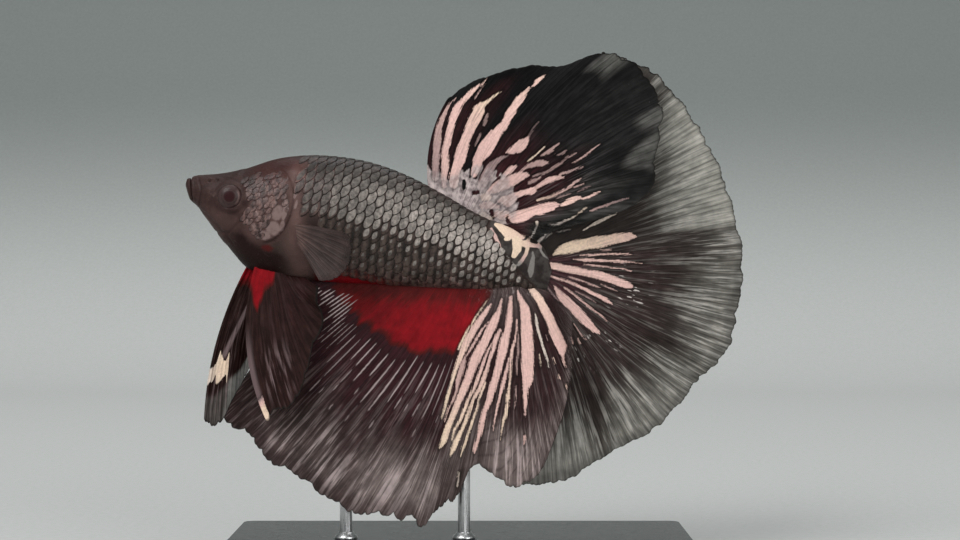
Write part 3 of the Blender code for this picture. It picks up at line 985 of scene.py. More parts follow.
FIN_BANDS = Bands((
    Stripe(((41.26, -5.3, 0.05), (40.61, -6.93, 0.1), (39.87, -9.24, 0.1), (39.37, -10.96, 0.12),
            (39.16, -12.47, 0.14)), (1, 1)),
    Stripe(((41.79, -5.83, 0.08), (41.41, -6.72, 0.31), (40.9, -8.18, 0.39), (40.43, -9.63, 0.46),
            (40.01, -11.06, 0.48), (39.75, -12.46, 0.47), (39.53, -13.84, 0.29), (39.46, -15.19, 0.26),
            (39.39, -16.53, 0.23), (39.32, -17.88, 0.21), (39.29, -19.22, 0.22), (39.26, -20.55, 0.14),
            (39.22, -21.76, 0.06)), (0, 1)),
    Stripe(((40.19, -13.14, 0.15), (40.23, -13.93, 0.31), (40.19, -15, 0.36), (40.08, -16.36, 0.35),
            (40.27, -17.64, 0.15), (40.08, -19.02, 0.15), (39.78, -20.42, 0.13), (39.73, -21.77, 0.1),
            (39.7, -22.04, 0.04)), (-0.4, 0.4), 0.85),
    Stripe(((41.99, -8.17, 0.06), (41.42, -9.38, 0.15), (41.06, -10.8, 0.19), (40.63, -12.23, 0.14),
            (40.41, -12.95, 0.06))),
    Stripe(((42.95, -4.87, 0.13), (43.01, -6.32, 0.31), (42.76, -7.71, 0.55), (42.49, -9.11, 0.58),
            (42.18, -10.52, 0.57), (41.85, -11.93, 0.62), (41.54, -13.33, 0.64),
            (41.39, -14.7, 0.52)), (0, 0.1)),
    Stripe(((41.39, -14.7, 0.53), (41.29, -16.05, 0.51), (41.08, -17.43, 0.5), (40.84, -18.82, 0.43),
            (40.67, -20.19, 0.41), (40.48, -21.57, 0.4), (40.32, -22.95, 0.45), (40.25, -24.29, 0.43),
            (40.08, -25, 0.27), (39.88, -25.52, 0.06)), (0.1, 1)),
    Stripe(((43.37, -9.95, 0.09), (42.88, -11.67, 0.15), (42.74, -13.03, 0.21), (42.59, -14.4, 0.25),
            (42.48, -15.76, 0.25), (42.27, -17.13, 0.23), (41.96, -18.53, 0.17), (41.83, -19.89, 0.2),
            (41.62, -21.26, 0.2), (41.23, -22.7, 0.18), (41.23, -24.03, 0.09)), (0, 0.8)),
    Stripe(((43.74, -8.8, 0.19), (43.46, -10.2, 0.3), (43.5, -11.51, 0.26), (43.37, -12.88, 0.22),
            (43.31, -14.22, 0.26), (43.21, -15.58, 0.29), (42.97, -16.96, 0.23), (42.54, -18.39, 0.22),
            (42.44, -19.74, 0.21), (42.32, -21.09, 0.23), (42.14, -22.45, 0.21), (41.83, -23.86, 0.33),
            (41.71, -24.96, 0.34), (41.56, -26.2, 0.07)), (0, 1)),
    Stripe(((43.61, -15.87, 0.14), (43.37, -17, 0.15), (43.26, -18.22, 0.12), (43.33, -19.53, 0.16),
            (43.2, -20.89, 0.18), (43.04, -22.25, 0.17), (43.03, -23.57, 0.22), (42.81, -24.68, 0.2),
            (42.76, -25.74, 0.07)), (0.6, 1)),
    Stripe(((44.01, -4.34, 0.19), (44.34, -5.99, 0.36), (44.59, -7.25, 0.44), (44.7, -8.56, 0.43),
            (44.64, -9.9, 0.59), (44.73, -11.21, 0.62), (44.72, -12.54, 0.52), (44.71, -13.87, 0.52),
            (44.68, -15.21, 0.47), (44.67, -16.54, 0.47), (44.63, -17.88, 0.4), (44.41, -19.27, 0.34),
            (44.41, -20.6, 0.34), (44.49, -21.91, 0.36), (44.45, -23.25, 0.31), (44.39, -24.33, 0.31),
            (44.4, -24.99, 0.08)), (0, 0.1)),
    Stripe(((45.76, -12.01, 0.08), (45.81, -13.59, 0.18), (45.82, -14.92, 0.26), (45.87, -16.23, 0.23),
            (45.84, -17.57, 0.16), (45.86, -18.89, 0.18), (45.91, -20.21, 0.14),
            (46.1, -21.62, 0.06)), (0, 0.2)),
    Stripe(((45.51, -7.02, 0.1), (45.82, -8.27, 0.13), (45.94, -9.57, 0.14), (45.88, -10.91, 0.21),
            (46.05, -12.2, 0.19), (46.32, -13.46, 0.17), (46.58, -14.72, 0.14), (46.68, -16.02, 0.18),
            (46.95, -17.28, 0.21), (47.07, -18.58, 0.19), (47.09, -19.9, 0.16), (47.16, -21.21, 0.1),
            (47.31, -22.49, 0.05)), (0.1, 0.9)),
    Stripe(((46.16, -8.85, 0.1), (46.47, -10.1, 0.15), (46.69, -10.97, 0.15), (46.88, -12.25, 0.13),
            (47.27, -13.88, 0.09)), (-0.5, -0.5), 0.7),
    Stripe(((47.52, -15.28, 0.12), (47.83, -16.79, 0.12), (48.04, -18.06, 0.06)), (-0.5, -0.5), 0.7),
    Stripe(((44.7, -3.37, 0.1), (45.14, -4.05, 0.3), (45.84, -4.94, 0.48), (46.22, -5.51, 0.66),
            (46.66, -6.73, 0.68), (47.08, -7.96, 0.77), (47.44, -9.19, 0.79), (47.8, -10.43, 0.81),
            (48.14, -11.67, 0.79), (48.47, -12.92, 0.76), (48.77, -14.17, 0.69), (48.73, -15.24, 0.41),
            (48.93, -16.12, 0.34), (49.15, -16.99, 0.26), (49.43, -17.98, 0.14),
            (49.66, -18.85, 0.05)), (0.1, 0)),
    Stripe(((50.16, -21.23, 0.17), (50.34, -22.24, 0.13)), (0, 0), 0.9),
    Stripe(((47.62, -5.69, 0.08), (47.98, -6.4, 0.18), (48.49, -7.6, 0.18), (49.22, -8.74, 0.17),
            (49.89, -9.91, 0.15), (50.61, -11.05, 0.11), (51, -12.02, 0.05)), (1.6, 1.6), 0.95),
    Stripe(((49.43, -10.55, 0.09), (49.99, -12.14, 0.06)), (1.2, 1.2), 0.8),
    Stripe(((51.33, -10.6, 0.1), (51.77, -11.29, 0.07)), (0.4, 0.4), 0.9),
    Stripe(((52.49, -12.57, 0.12), (52.81, -13.02, 0.1)), (0.4, 0.4), 0.9),
    Stripe(((53.77, -13.43, 0.12), (53.96, -13.91, 0.12)), (0.4, 0.4), 0.8),
    Stripe(((52.42, -9.92, 0.21), (52.58, -10.55, 0.2), (53.23, -11.31, 0.12)), (0.2, 0.2), 0.9),
    Stripe(((49.67, -7.97, 0.06), (50.04, -8.67, 0.05)), (-0.5, -0.5), 0.7),
    Stripe(((45.1, -1.94, 0.15), (45.92, -2.27, 0.33), (46.39, -2.81, 0.4), (47.81, -3.8, 0.53),
            (48.78, -4.89, 0.6), (49.77, -5.99, 0.6), (50.54, -7.14, 0.68), (51.43, -8.27, 0.72),
            (52.01, -8.93, 0.7), (52.18, -9.57, 0.47), (52.29, -10.01, 0.13)), (0.6, 0)),
    Stripe(((43.06, -27.79, 0.13), (43.29, -29.59, 0.1)), (1.5, 1.5), 0.9),
    Stripe(((51.07, 6.36, 0.04), (51.81, 7.16, 0.11), (52.7, 7.95, 0.21), (53.59, 8.72, 0.16),
            (54.73, 9.55, 0.04)), (1.5, 1.5)),
    Stripe(((48.09, 2.37, 0.13), (48.57, 2.9, 0.43), (49.13, 3.34, 0.65), (49.96, 3.82, 0.78),
            (50.92, 4.31, 0.79), (52.13, 4.88, 0.73), (53.36, 5.4, 0.79), (54.45, 5.91, 0.73),
            (55.55, 6.44, 0.66), (56.53, 6.85, 0.62), (57.27, 7.19, 0.5), (57.78, 7.31, 0.25),
            (58.05, 7.32, 0.06)), (1.1, 0.3)),
    Stripe(((53.87, 4.46, 0.1), (55.28, 4.82, 0.12)), (0, 0), 0.6),
    Stripe(((51.49, 3.13, 0.08), (53.38, 3.71, 0.12), (55.28, 4.28, 0.16), (57.19, 4.79, 0.12),
            (58.03, 4.98, 0.07)), (0.2, 0.2)),
    Stripe(((50.73, 2.4, 0.07), (52.28, 2.7, 0.18), (54.2, 3.15, 0.18), (56.15, 3.52, 0.14),
            (57.44, 3.82, 0.12), (58.48, 4.01, 0.09), (59.67, 4.14, 0.09)), (0.2, 0.2)),
    Stripe(((52.15, 2.13, 0.05), (53.33, 2.3, 0.12), (55.04, 2.53, 0.12), (56.36, 2.71, 0.09),
            (57.68, 2.87, 0.1), (58.66, 2.8, 0.07)), (0.1, 0.1), 0.9),
    Stripe(((47.94, 0.89, 0.44), (48.66, 0.95, 0.45), (49.6, 0.97, 0.5), (50.67, 1.03, 0.52),
            (52.01, 1.12, 0.49), (53.36, 1.16, 0.47), (54.69, 1.26, 0.55), (56.08, 1.18, 0.56),
            (57.48, 1.03, 0.53), (58.47, 0.91, 0.46), (59.07, 0.95, 0.28), (59.25, 0.97, 0.08)), (0.3, 0)),
    Stripe(((50.65, 0.07, 0.07), (51.2, 0.04, 0.14), (52.58, -0.04, 0.12), (53.97, -0.19, 0.11),
            (55.1, -0.32, 0.06)), (-0.2, -0.2), 0.8),
    Stripe(((54.98, 0.16, 0.06), (55.83, 0.04, 0.1), (56.68, -0.09, 0.1),
            (57.38, -0.18, 0.05)), (-0.2, -0.2), 0.7),
    Stripe(((48.27, -0.4, 0.1), (48.76, -0.47, 0.15), (49.72, -0.54, 0.16), (50.68, -0.57, 0.16),
            (51.8, -0.71, 0.18), (53.23, -0.98, 0.19), (54.24, -1.24, 0.21), (55.39, -1.45, 0.26),
            (56.25, -1.65, 0.27), (56.91, -1.82, 0.17), (57.2, -1.98, 0.06))),
    Stripe(((52.01, -1.53, 0.07), (53.16, -1.78, 0.07), (54.18, -2.06, 0.07),
            (55.08, -2.37, 0.07)), (-0.6, -0.6), 0.6),
    Stripe(((50.49, -1.44, 0.08), (51.39, -1.76, 0.13), (52.46, -2.23, 0.14), (53.69, -2.79, 0.14),
            (54.77, -3.26, 0.13), (55.97, -3.7, 0.1), (57.09, -4.37, 0.08)), (0, 0), 0.9),
    Stripe(((49.15, -1.58, 0.08), (49.8, -2.16, 0.33), (50.56, -2.74, 0.56), (51.35, -3.18, 0.63),
            (52.2, -3.61, 0.61), (53.11, -4.22, 0.64), (54, -4.78, 0.6), (54.8, -5.25, 0.55),
            (55.61, -5.75, 0.37), (56.13, -5.93, 0.29), (56.53, -6.13, 0.1)), (-0.2, 0)),
    Stripe(((52.87, -5.69, 0.07), (53.66, -6.37, 0.1), (54.35, -6.94, 0.1),
            (54.94, -7.4, 0.07)), (0, 0), 0.8),
    Stripe(((52.99, -7.48, 0.1), (53.44, -8.17, 0.1)), (0.2, 0.2), 0.8),
    Stripe(((53.93, -7.44, 0.1), (54.42, -8, 0.1)), (0.2, 0.2), 0.8),
    Stripe(((46.43, 5.96, 0.08), (47.22, 6.06, 0.13), (47.92, 6.48, 0.17), (48.6, 6.99, 0.13),
            (49.27, 7.57, 0.1), (49.69, 8.02, 0.08), (50.09, 8.59, 0.13),
            (50.61, 9.2, 0.09)), (1.8, 1.2), 0.55),
    Stripe(((45.46, 2.99, 0.16), (45.91, 3.72, 0.22), (46.64, 4.53, 0.16),
            (47.15, 4.98, 0.08)), (1.8, 1.8), 0.42),
    Stripe(((44.53, 3.37, 0.15), (44.88, 4.41, 0.13), (45.04, 5.5, 0.12)), (1.8, 1.8), 0.4),
    Stripe(((47.8, 5.3, 0.06), (48.6, 5.72, 0.1), (49.4, 6.1, 0.06)), (1.8, 1.8), 0.32),
    Stripe(((30.91, 8.14, 0.41), (30.67, 9.14, 0.44), (30.34, 10.38, 0.45), (30.09, 11.65, 0.46),
            (29.92, 12.93, 0.49), (29.74, 14.22, 0.44), (29.78, 15.56, 0.34), (30.08, 16.98, 0.22),
            (30.33, 17.84, 0.14), (30.88, 18.78, 0.05)), (-0.7, -0.3), 0.95),
    Stripe(((32.19, 7.4, 0.32), (31.91, 8.39, 0.36), (31.82, 9.43, 0.47), (31.5, 10.67, 0.5),
            (31.26, 11.94, 0.44), (31.26, 13.26, 0.47), (31.14, 14.56, 0.49), (31.18, 15.9, 0.5),
            (31.38, 17.28, 0.53), (31.57, 17.99, 0.39), (31.97, 18.75, 0.34), (32.43, 19.52, 0.33),
            (32.89, 20.29, 0.25), (33.59, 21.12, 0.15), (34.05, 21.89, 0.1),
            (34.23, 22.33, 0.03)), (-0.3, 0.3)),
    Stripe(((33.24, 19.18, 0.08), (33.52, 19.91, 0.1), (33.85, 20.72, 0.08),
            (34.14, 21.39, 0.04)), (-0.4, -0.4), 0.9),
    Stripe(((33.31, 7.95, 0.57), (33.21, 8.72, 0.66), (33.12, 9.76, 0.62), (33.31, 11.14, 0.77),
            (33.27, 12.45, 0.73), (33.37, 13.8, 0.64), (33.57, 15.18, 0.69)), (-0.1, 0.15)),
    Stripe(((33.57, 15.18, 0.68), (33.81, 16.56, 0.71), (34.06, 17.29, 0.73), (34.15, 17.97, 0.77),
            (34.27, 18.53, 0.47), (34.73, 19.05, 0.25), (35.14, 19.56, 0.19), (35.57, 20.2, 0.11),
            (36.09, 20.76, 0.06), (36.53, 21.12, 0.02)), (0.3, 0.9)),
    Stripe(((35.27, 17.74, 0.15), (35.33, 16.97, 0.2), (35.24, 16.28, 0.18)), (-0.6, -0.6), 0.6),
    Stripe(((35.06, 15.17, 0.14), (34.91, 14.2, 0.17), (34.78, 13.37, 0.08)), (-0.6, -0.6), 0.6),
    Stripe(((35.55, 9.85, 0.42), (35.67, 10.95, 0.62), (35.58, 11.72, 0.65), (35.85, 12.45, 0.76),
            (36.16, 13.2, 0.95), (36.4, 13.92, 0.93), (36.64, 14.65, 0.86), (36.93, 15.38, 0.74),
            (37.29, 16.14, 0.63), (37.8, 16.93, 0.51), (37.94, 17.64, 0.52), (38.08, 18.34, 0.63),
            (38.34, 19.07, 0.54), (38.57, 19.79, 0.51), (38.87, 20.54, 0.57), (39.07, 20.99, 0.43),
            (39.26, 21.44, 0.35), (39.59, 22.06, 0.18), (39.69, 22.35, 0.13),
            (39.84, 22.49, 0.04)), (-0.3, 0.4)),
    Stripe(((39.84, 22.49, 0.04), (40.26, 22.89, 0.16), (40.46, 23.34, 0.29), (40.83, 23.84, 0.23),
            (41.33, 24.5, 0.04)), (0.2, 0.4)),
    Stripe(((38.92, 13.57, 0.15), (39.54, 13.99, 0.46), (40.15, 14.48, 0.72), (40.6, 15.06, 0.69),
            (40.91, 15.66, 0.44), (41.05, 16.16, 0.13)), (-0.3, -0.3)),
    Stripe(((41.05, 16.16, 0.13), (41.23, 16.74, 0.15), (41.54, 17.61, 0.15),
            (41.94, 18.38, 0.08)), (-0.8, -0.8), 0.4),
    Stripe(((39.32, 10.69, 0.19), (39.74, 11.13, 0.39), (40.11, 11.75, 0.36),
            (40.53, 12.19, 0.13)), (-0.2, -0.2), 0.95),
    Stripe(((37.77, 7.9, 0.26), (38.52, 8.62, 0.58), (39.28, 9.28, 0.81), (40.04, 9.94, 0.77),
            (40.81, 10.57, 0.68), (41.47, 11.11, 0.59), (42.05, 11.45, 0.36),
            (42.38, 11.47, 0.1)), (-0.3, -0.3)),
    Stripe(((36.8, 8.58, 0.51), (37.26, 9.89, 0.77), (37.38, 10.98, 0.64), (37.78, 12.02, 0.39),
            (38.64, 12.83, 0.23), (39.22, 13.18, 0.08)), (-0.8, -0.8), 0.85),
    Stripe(((41.83, 13.19, 0.08), (42.47, 13.96, 0.1), (42.99, 14.81, 0.1),
            (43.53, 15.56, 0.08)), (1.2, 1.2), 0.8),
    Stripe(((43.32, 14.3, 0.13), (43.87, 14.77, 0.21), (44.41, 15.25, 0.23), (44.79, 15.84, 0.13),
            (45.19, 16.37, 0.1)), (-0.3, -0.3), 0.6),
    Stripe(((45.18, 14.84, 0.15), (45.88, 15.22, 0.21), (46.3, 15.66, 0.13)), (-0.6, -0.6), 0.5),
    Stripe(((45.15, 13.11, 0.21), (45.64, 13.56, 0.26), (46.07, 13.94, 0.17), (46.54, 14.72, 0.14),
            (47.08, 15.2, 0.14), (47.63, 15.67, 0.12)), (-0.5, -0.5), 0.6),
    Stripe(((47.45, 14.29, 0.09), (48.08, 14.91, 0.1), (48.72, 15.54, 0.12), (49.33, 16.29, 0.12),
            (49.82, 16.95, 0.09), (50.32, 17.61, 0.06)), (-0.2, -0.2), 0.75),
    Stripe(((41.52, 11.98, 0.13), (42.28, 12.64, 0.31), (43.07, 13.18, 0.44), (43.81, 13.43, 0.41),
            (44.43, 13.59, 0.13)), (-0.5, -0.5), 0.8),
    Stripe(((42.97, 11.49, 0.13), (43.91, 12, 0.18), (44.47, 12.4, 0.21), (45.01, 12.87, 0.17),
            (45.65, 13.5, 0.13)), (-0.6, -0.6), 0.6),
    Stripe(((43.78, 10.17, 0.21), (44.24, 10.68, 0.28), (44.78, 11.19, 0.33), (45.34, 11.6, 0.36),
            (46.02, 12.07, 0.28), (46.77, 12.25, 0.18)), (0, -0.2), 0.9),
    Stripe(((46.3, 12.53, 0.12), (46.87, 12.88, 0.18), (47.44, 13.25, 0.21), (48.01, 13.63, 0.17),
            (48.91, 14.26, 0.09)), (-0.3, -0.6), 0.7),
    Stripe(((42.7, 10.49, 0.21), (43.24, 10.96, 0.23), (43.89, 11.53, 0.13)), (-0.5, -0.5), 0.65),
    Stripe(((44.24, 8.63, 0.13), (44.94, 8.98, 0.17), (45.64, 9.38, 0.19), (46.31, 9.88, 0.21),
            (46.97, 10.42, 0.18), (47.62, 11.01, 0.14), (48.13, 11.61, 0.15), (48.52, 12.17, 0.13),
            (49.03, 12.76, 0.08)), (0.6, -0.4), 0.85),
    Stripe(((46.58, 9.36, 0.1), (47.25, 9.86, 0.15), (48.16, 10.49, 0.1)), (-0.6, -0.6), 0.7),
    Stripe(((48.45, 11.42, 0.09), (49.02, 11.79, 0.1), (49.58, 12.18, 0.05)), (-0.3, -0.3), 0.7),
    Stripe(((48.98, 10.9, 0.1), (49.63, 11.49, 0.13), (50.42, 12.06, 0.09)), (-0.6, -0.6), 0.55),
    Stripe(((40.17, 7.85, 0.15), (40.64, 8.11, 0.28), (41.56, 8.67, 0.39), (42.48, 9.24, 0.39),
            (43.32, 9.61, 0.46), (43.81, 9.78, 0.15)), (-0.2, 0)),
    Stripe(((41.65, 5.71, 0.52), (42.17, 5.78, 0.83), (42.87, 6.15, 0.88), (43.54, 6.66, 0.72),
            (44.2, 7.21, 0.57), (44.92, 7.54, 0.72), (45.61, 7.94, 0.67), (46.19, 8.3, 0.62),
            (46.64, 8.6, 0.41), (47.07, 8.76, 0.18)), (0.1, 0)),
    Stripe(((47.41, 8.71, 0.13), (47.96, 9.18, 0.32), (48.4, 9.56, 0.39), (48.95, 10.02, 0.36),
            (49.29, 10.24, 0.26), (49.82, 10.25, 0.13), (50.3, 10.47, 0.15), (50.86, 10.88, 0.15),
            (51.41, 11.35, 0.13), (51.85, 11.69, 0.05)), (0.3, 0.2)),
    Stripe(((51.21, 8.93, 0.08), (51.89, 9.38, 0.12), (52.57, 9.88, 0.15), (53.27, 10.26, 0.17),
            (53.94, 10.79, 0.14), (54.87, 11.34, 0.17), (55.69, 11.81, 0.08)), (-0.4, -0.8), 0.7),
    Stripe(((39.52, 7.29, 0.26), (39.99, 7.54, 0.52), (40.64, 7.58, 0.77), (41.06, 8.02, 0.58),
            (41.5, 8.39, 0.26)), (0.2, 0), 0.95),
    Stripe(((37.52, 7.31, 0.51), (38.02, 7.43, 0.39)), (0.6, 0.6), 0.95),
    Stripe(((37.56, 6.12, 0.39), (38.52, 6.5, 0.45), (39.59, 6.51, 0.26)), (-0.2, -0.2), 0.8),
    Stripe(((38, 4.91, 0.58), (38.72, 4.69, 0.52), (39.47, 4.36, 0.19)), (1.5, 1.2), 0.95),
    Stripe(((44.95, 5.81, 0.21), (45.03, 5.56, 0.18)), (1.5, 1.5)),
    Stripe(((47.82, -1.52, 0.08), (48.48, -2.02, 0.13), (49.5, -2.84, 0.13),
            (50.17, -3.34, 0.08)), (-0.8, -0.8), 0.7),
    Stripe(((39.68, 5.61, 0.45), (40.36, 5.58, 0.58), (40.89, 6.11, 0.26)), (0.2, 0.1), 0.95),
))


# ---------------------------------------------------------------- body


@dataclass
class FishPose:
    """Where the fish hangs on its rods, and the curve of its spine.

    Args:
        snout: Place of the snout's root, east and up.
        pitch: Nose-up angle in degrees.
        sway_start: Distance from the snout where the spine starts to curve.
        sway_end: Distance where the curve is full.
        sway_curve: Strength of the curve.
        sway_fade: Length over which it straightens behind.
    """

    snout: Point = (-35.08, 50.33)
    pitch: float = 14.26
    sway_start: float = 31.0
    sway_end: float = 46.0
    sway_curve: float = 0.0095
    sway_fade: float = 18.0

    def sway(self, along: Array) -> Array:
        """How far the spine has curved to the fish's right at this distance from the snout.

        Args:
            along: Distance from the snout.

        Returns:
            Millimetres sideways.
        """
        length = self.sway_end - self.sway_start
        bent = self.sway_curve * np.clip(along - self.sway_start, 0.0, length) ** 2
        past = np.clip(along - self.sway_end, 0.0, None)
        return bent + 2 * self.sway_curve * length * self.sway_fade * (1 - np.exp(-past / self.sway_fade))

    def world(self, points: Array) -> Array:
        """Points of the fish's own frame as metres in the part's frame.

        Args:
            points: Millimetres: distance from the snout, sideways, height.

        Returns:
            Metres.
        """
        turn = math.radians(self.pitch)
        along, across, height = points[..., 0], points[..., 1], points[..., 2]
        east = self.snout[0] + along * math.cos(turn) + height * math.sin(turn)
        up = self.snout[1] - along * math.sin(turn) + height * math.cos(turn)
        return np.stack((east, across, up), -1) * MM


@dataclass
class BodyShape:
    """Sections of the body, the same as its solids are lofted from."""

    pose: FishPose
    # distance from the snout, back, belly, half width, height of the widest point
    stations: tuple = (
        (0.0, 0.2, -0.75, 0.4, -0.3),
        (0.5, 0.45, -1.62, 0.95, -0.6),
        (1.0, 0.85, -2.27, 1.3, -0.8),
        (2.0, 1.22, -2.93, 1.8, -0.9),
        (3.5, 1.72, -4.1, 2.45, -1.0),
        (5.8, 2.72, -6.00, 3.25, -1.2),
        (8.1, 4.15, -7.82, 3.85, -1.5),
        (9.9, 5.3, -9.02, 4.15, -1.6),
        (13.4, 6.78, -9.33, 4.5, -1.4),
        (17.6, 7.7, -8.91, 4.6, -0.9),
        (22.3, 8.08, -8.11, 4.35, -0.4),
        (27.4, 7.6, -7.09, 3.85, 0.0),
        (32.4, 6.42, -6.08, 3.3, 0.1),
        (37.5, 5.02, -5.06, 2.7, 0.1),
        (42.5, 4.24, -3.92, 1.85, 0.2),
        (45.2, 3.67, -3.22, 1.25, 0.2),
        (47.0, 2.6, -2.8, 0.8, 0.0),
        (48.4, 0.4, -2.2, 0.45, -0.9),
    )
    back_power: float = 2.15
    belly_power: float = 1.85
    girth_steps: int = 160
    along_steps: int = 400

    def __post_init__(self) -> None:
        """Works out how far round the surface each turn reaches, for every station."""
        self.table = np.array(self.stations)
        self.length = self.table[-1, 0]
        self.places = np.linspace(0.0, self.length, self.along_steps)
        turns = np.linspace(0.0, math.pi, self.girth_steps)
        rings = self.section(self.places[:, None], turns[None, :])
        steps = np.linalg.norm(np.diff(rings[..., 1:], axis=1), axis=-1)
        lengths = np.concatenate((np.zeros((self.along_steps, 1)), np.cumsum(steps, 1)), 1)
        self.girth = lengths[:, -1]
        self.shares = np.linspace(0.0, 1.0, self.girth_steps)
        rows = [np.interp(self.shares * row[-1], row, turns) for row in lengths]
        self.turn_table = np.array(rows)

    def row(self, along: Array) -> tuple[Array, Array, Array, Array]:
        """Back, belly, half width and height of the widest point at this station."""
        xs = self.table[:, 0]
        return tuple(smooth(xs, self.table[:, column], along) for column in (1, 2, 3, 4))

    def section(self, along: Array, turn: Array) -> Array:
        """Point of the right flank with a straight spine; turn runs from 0, back, to pi, belly.

        Args:
            along: Distance from the snout.
            turn: Angle from the back's ridge, 0, to the belly's, pi.

        Returns:
            Points in the fish's own frame.
        """
        back, belly, width, middle = self.row(along)
        side, up = np.sin(turn), np.cos(turn)
        above = up > 0
        power = np.where(above, self.back_power, self.belly_power)
        reach = np.where(above, back - middle, middle - belly)
        across = width * np.sign(side) * np.abs(side) ** (2 / power)
        height = middle + reach * np.sign(up) * np.abs(up) ** (2 / power)
        return np.stack(np.broadcast_arrays(along, across, height), -1)

    def depth(self, along: Array, height: Array) -> Array:
        """How far down the flank a height is, from 0 at the back to 1 at the belly."""
        back, belly, _, _ = self.row(along)
        return (back - height) / (back - belly)

    def side_width(self, along: float, height: float) -> float:
        """Half width of the body at this distance from the snout and this height.

        Args:
            along: Distance from the snout.
            height: Height in the fish's own frame.

        Returns:
            Millimetres.
        """
        back, belly, width, middle = self.row(np.array(along, float))
        if height > middle:
            share, power = (height - middle) / (back - middle), self.back_power
        else:
            share, power = (middle - height) / (middle - belly), self.belly_power
        return float(width * max(0.0, 1 - share**power) ** (1 / power))

    def turn_at(self, along: Array, down: Array) -> Array:
        """Turn reached after going down the flank from the back's ridge.

        Args:
            along: Distance from the snout.
            down: Millimetres gone over the surface.

        Returns:
            Turns as in section.
        """
        i = np.clip(along / self.length * (self.along_steps - 1), 0, self.along_steps - 1.001)
        share = np.clip(down / np.interp(along, self.places, self.girth), 0.0, 1.0)
        k = np.clip(share * (self.girth_steps - 1), 0, self.girth_steps - 1.001)
        a, b = i.astype(int), k.astype(int)
        past, below, turns = i - a, k - b, self.turn_table
        fore = blend(below, turns[a, b], turns[a, b + 1])
        return blend(past, fore, blend(below, turns[a + 1, b], turns[a + 1, b + 1]))

    def lifted(self, along: Array, turn: Array, lift: Array, side: Array) -> Array:
        """Points at a height over the surface, in the fish's own frame.

        Args:
            along: Distance from the snout.
            turn: Angle from the back's ridge, 0 to pi.
            lift: Height over the surface.
            side: 1 for the right flank, -1 for the left.

        Returns:
            Points with the spine's curve added.
        """
        nudge = 0.02
        here = self.section(along, turn)
        fore = self.section(along + nudge, turn) - self.section(np.maximum(along - nudge, 0.0), turn)
        girthwise = self.section(along, turn + nudge) - self.section(along, turn - nudge)
        normal = np.cross(fore, girthwise)
        normal /= np.maximum(np.linalg.norm(normal, axis=-1, keepdims=True), 1e-9)
        from_axis = here - (0.0, 0.0, 1.0) * self.row(along)[3][..., None]
        outward = np.sign(np.sum(normal * from_axis * (0, 1, 1), -1))
        normal *= np.where(outward < 0, -1.0, 1.0)[..., None]
        point = here + normal * np.asarray(lift)[..., None]
        point[..., 1] = point[..., 1] * side + self.pose.sway(point[..., 0])
        return point


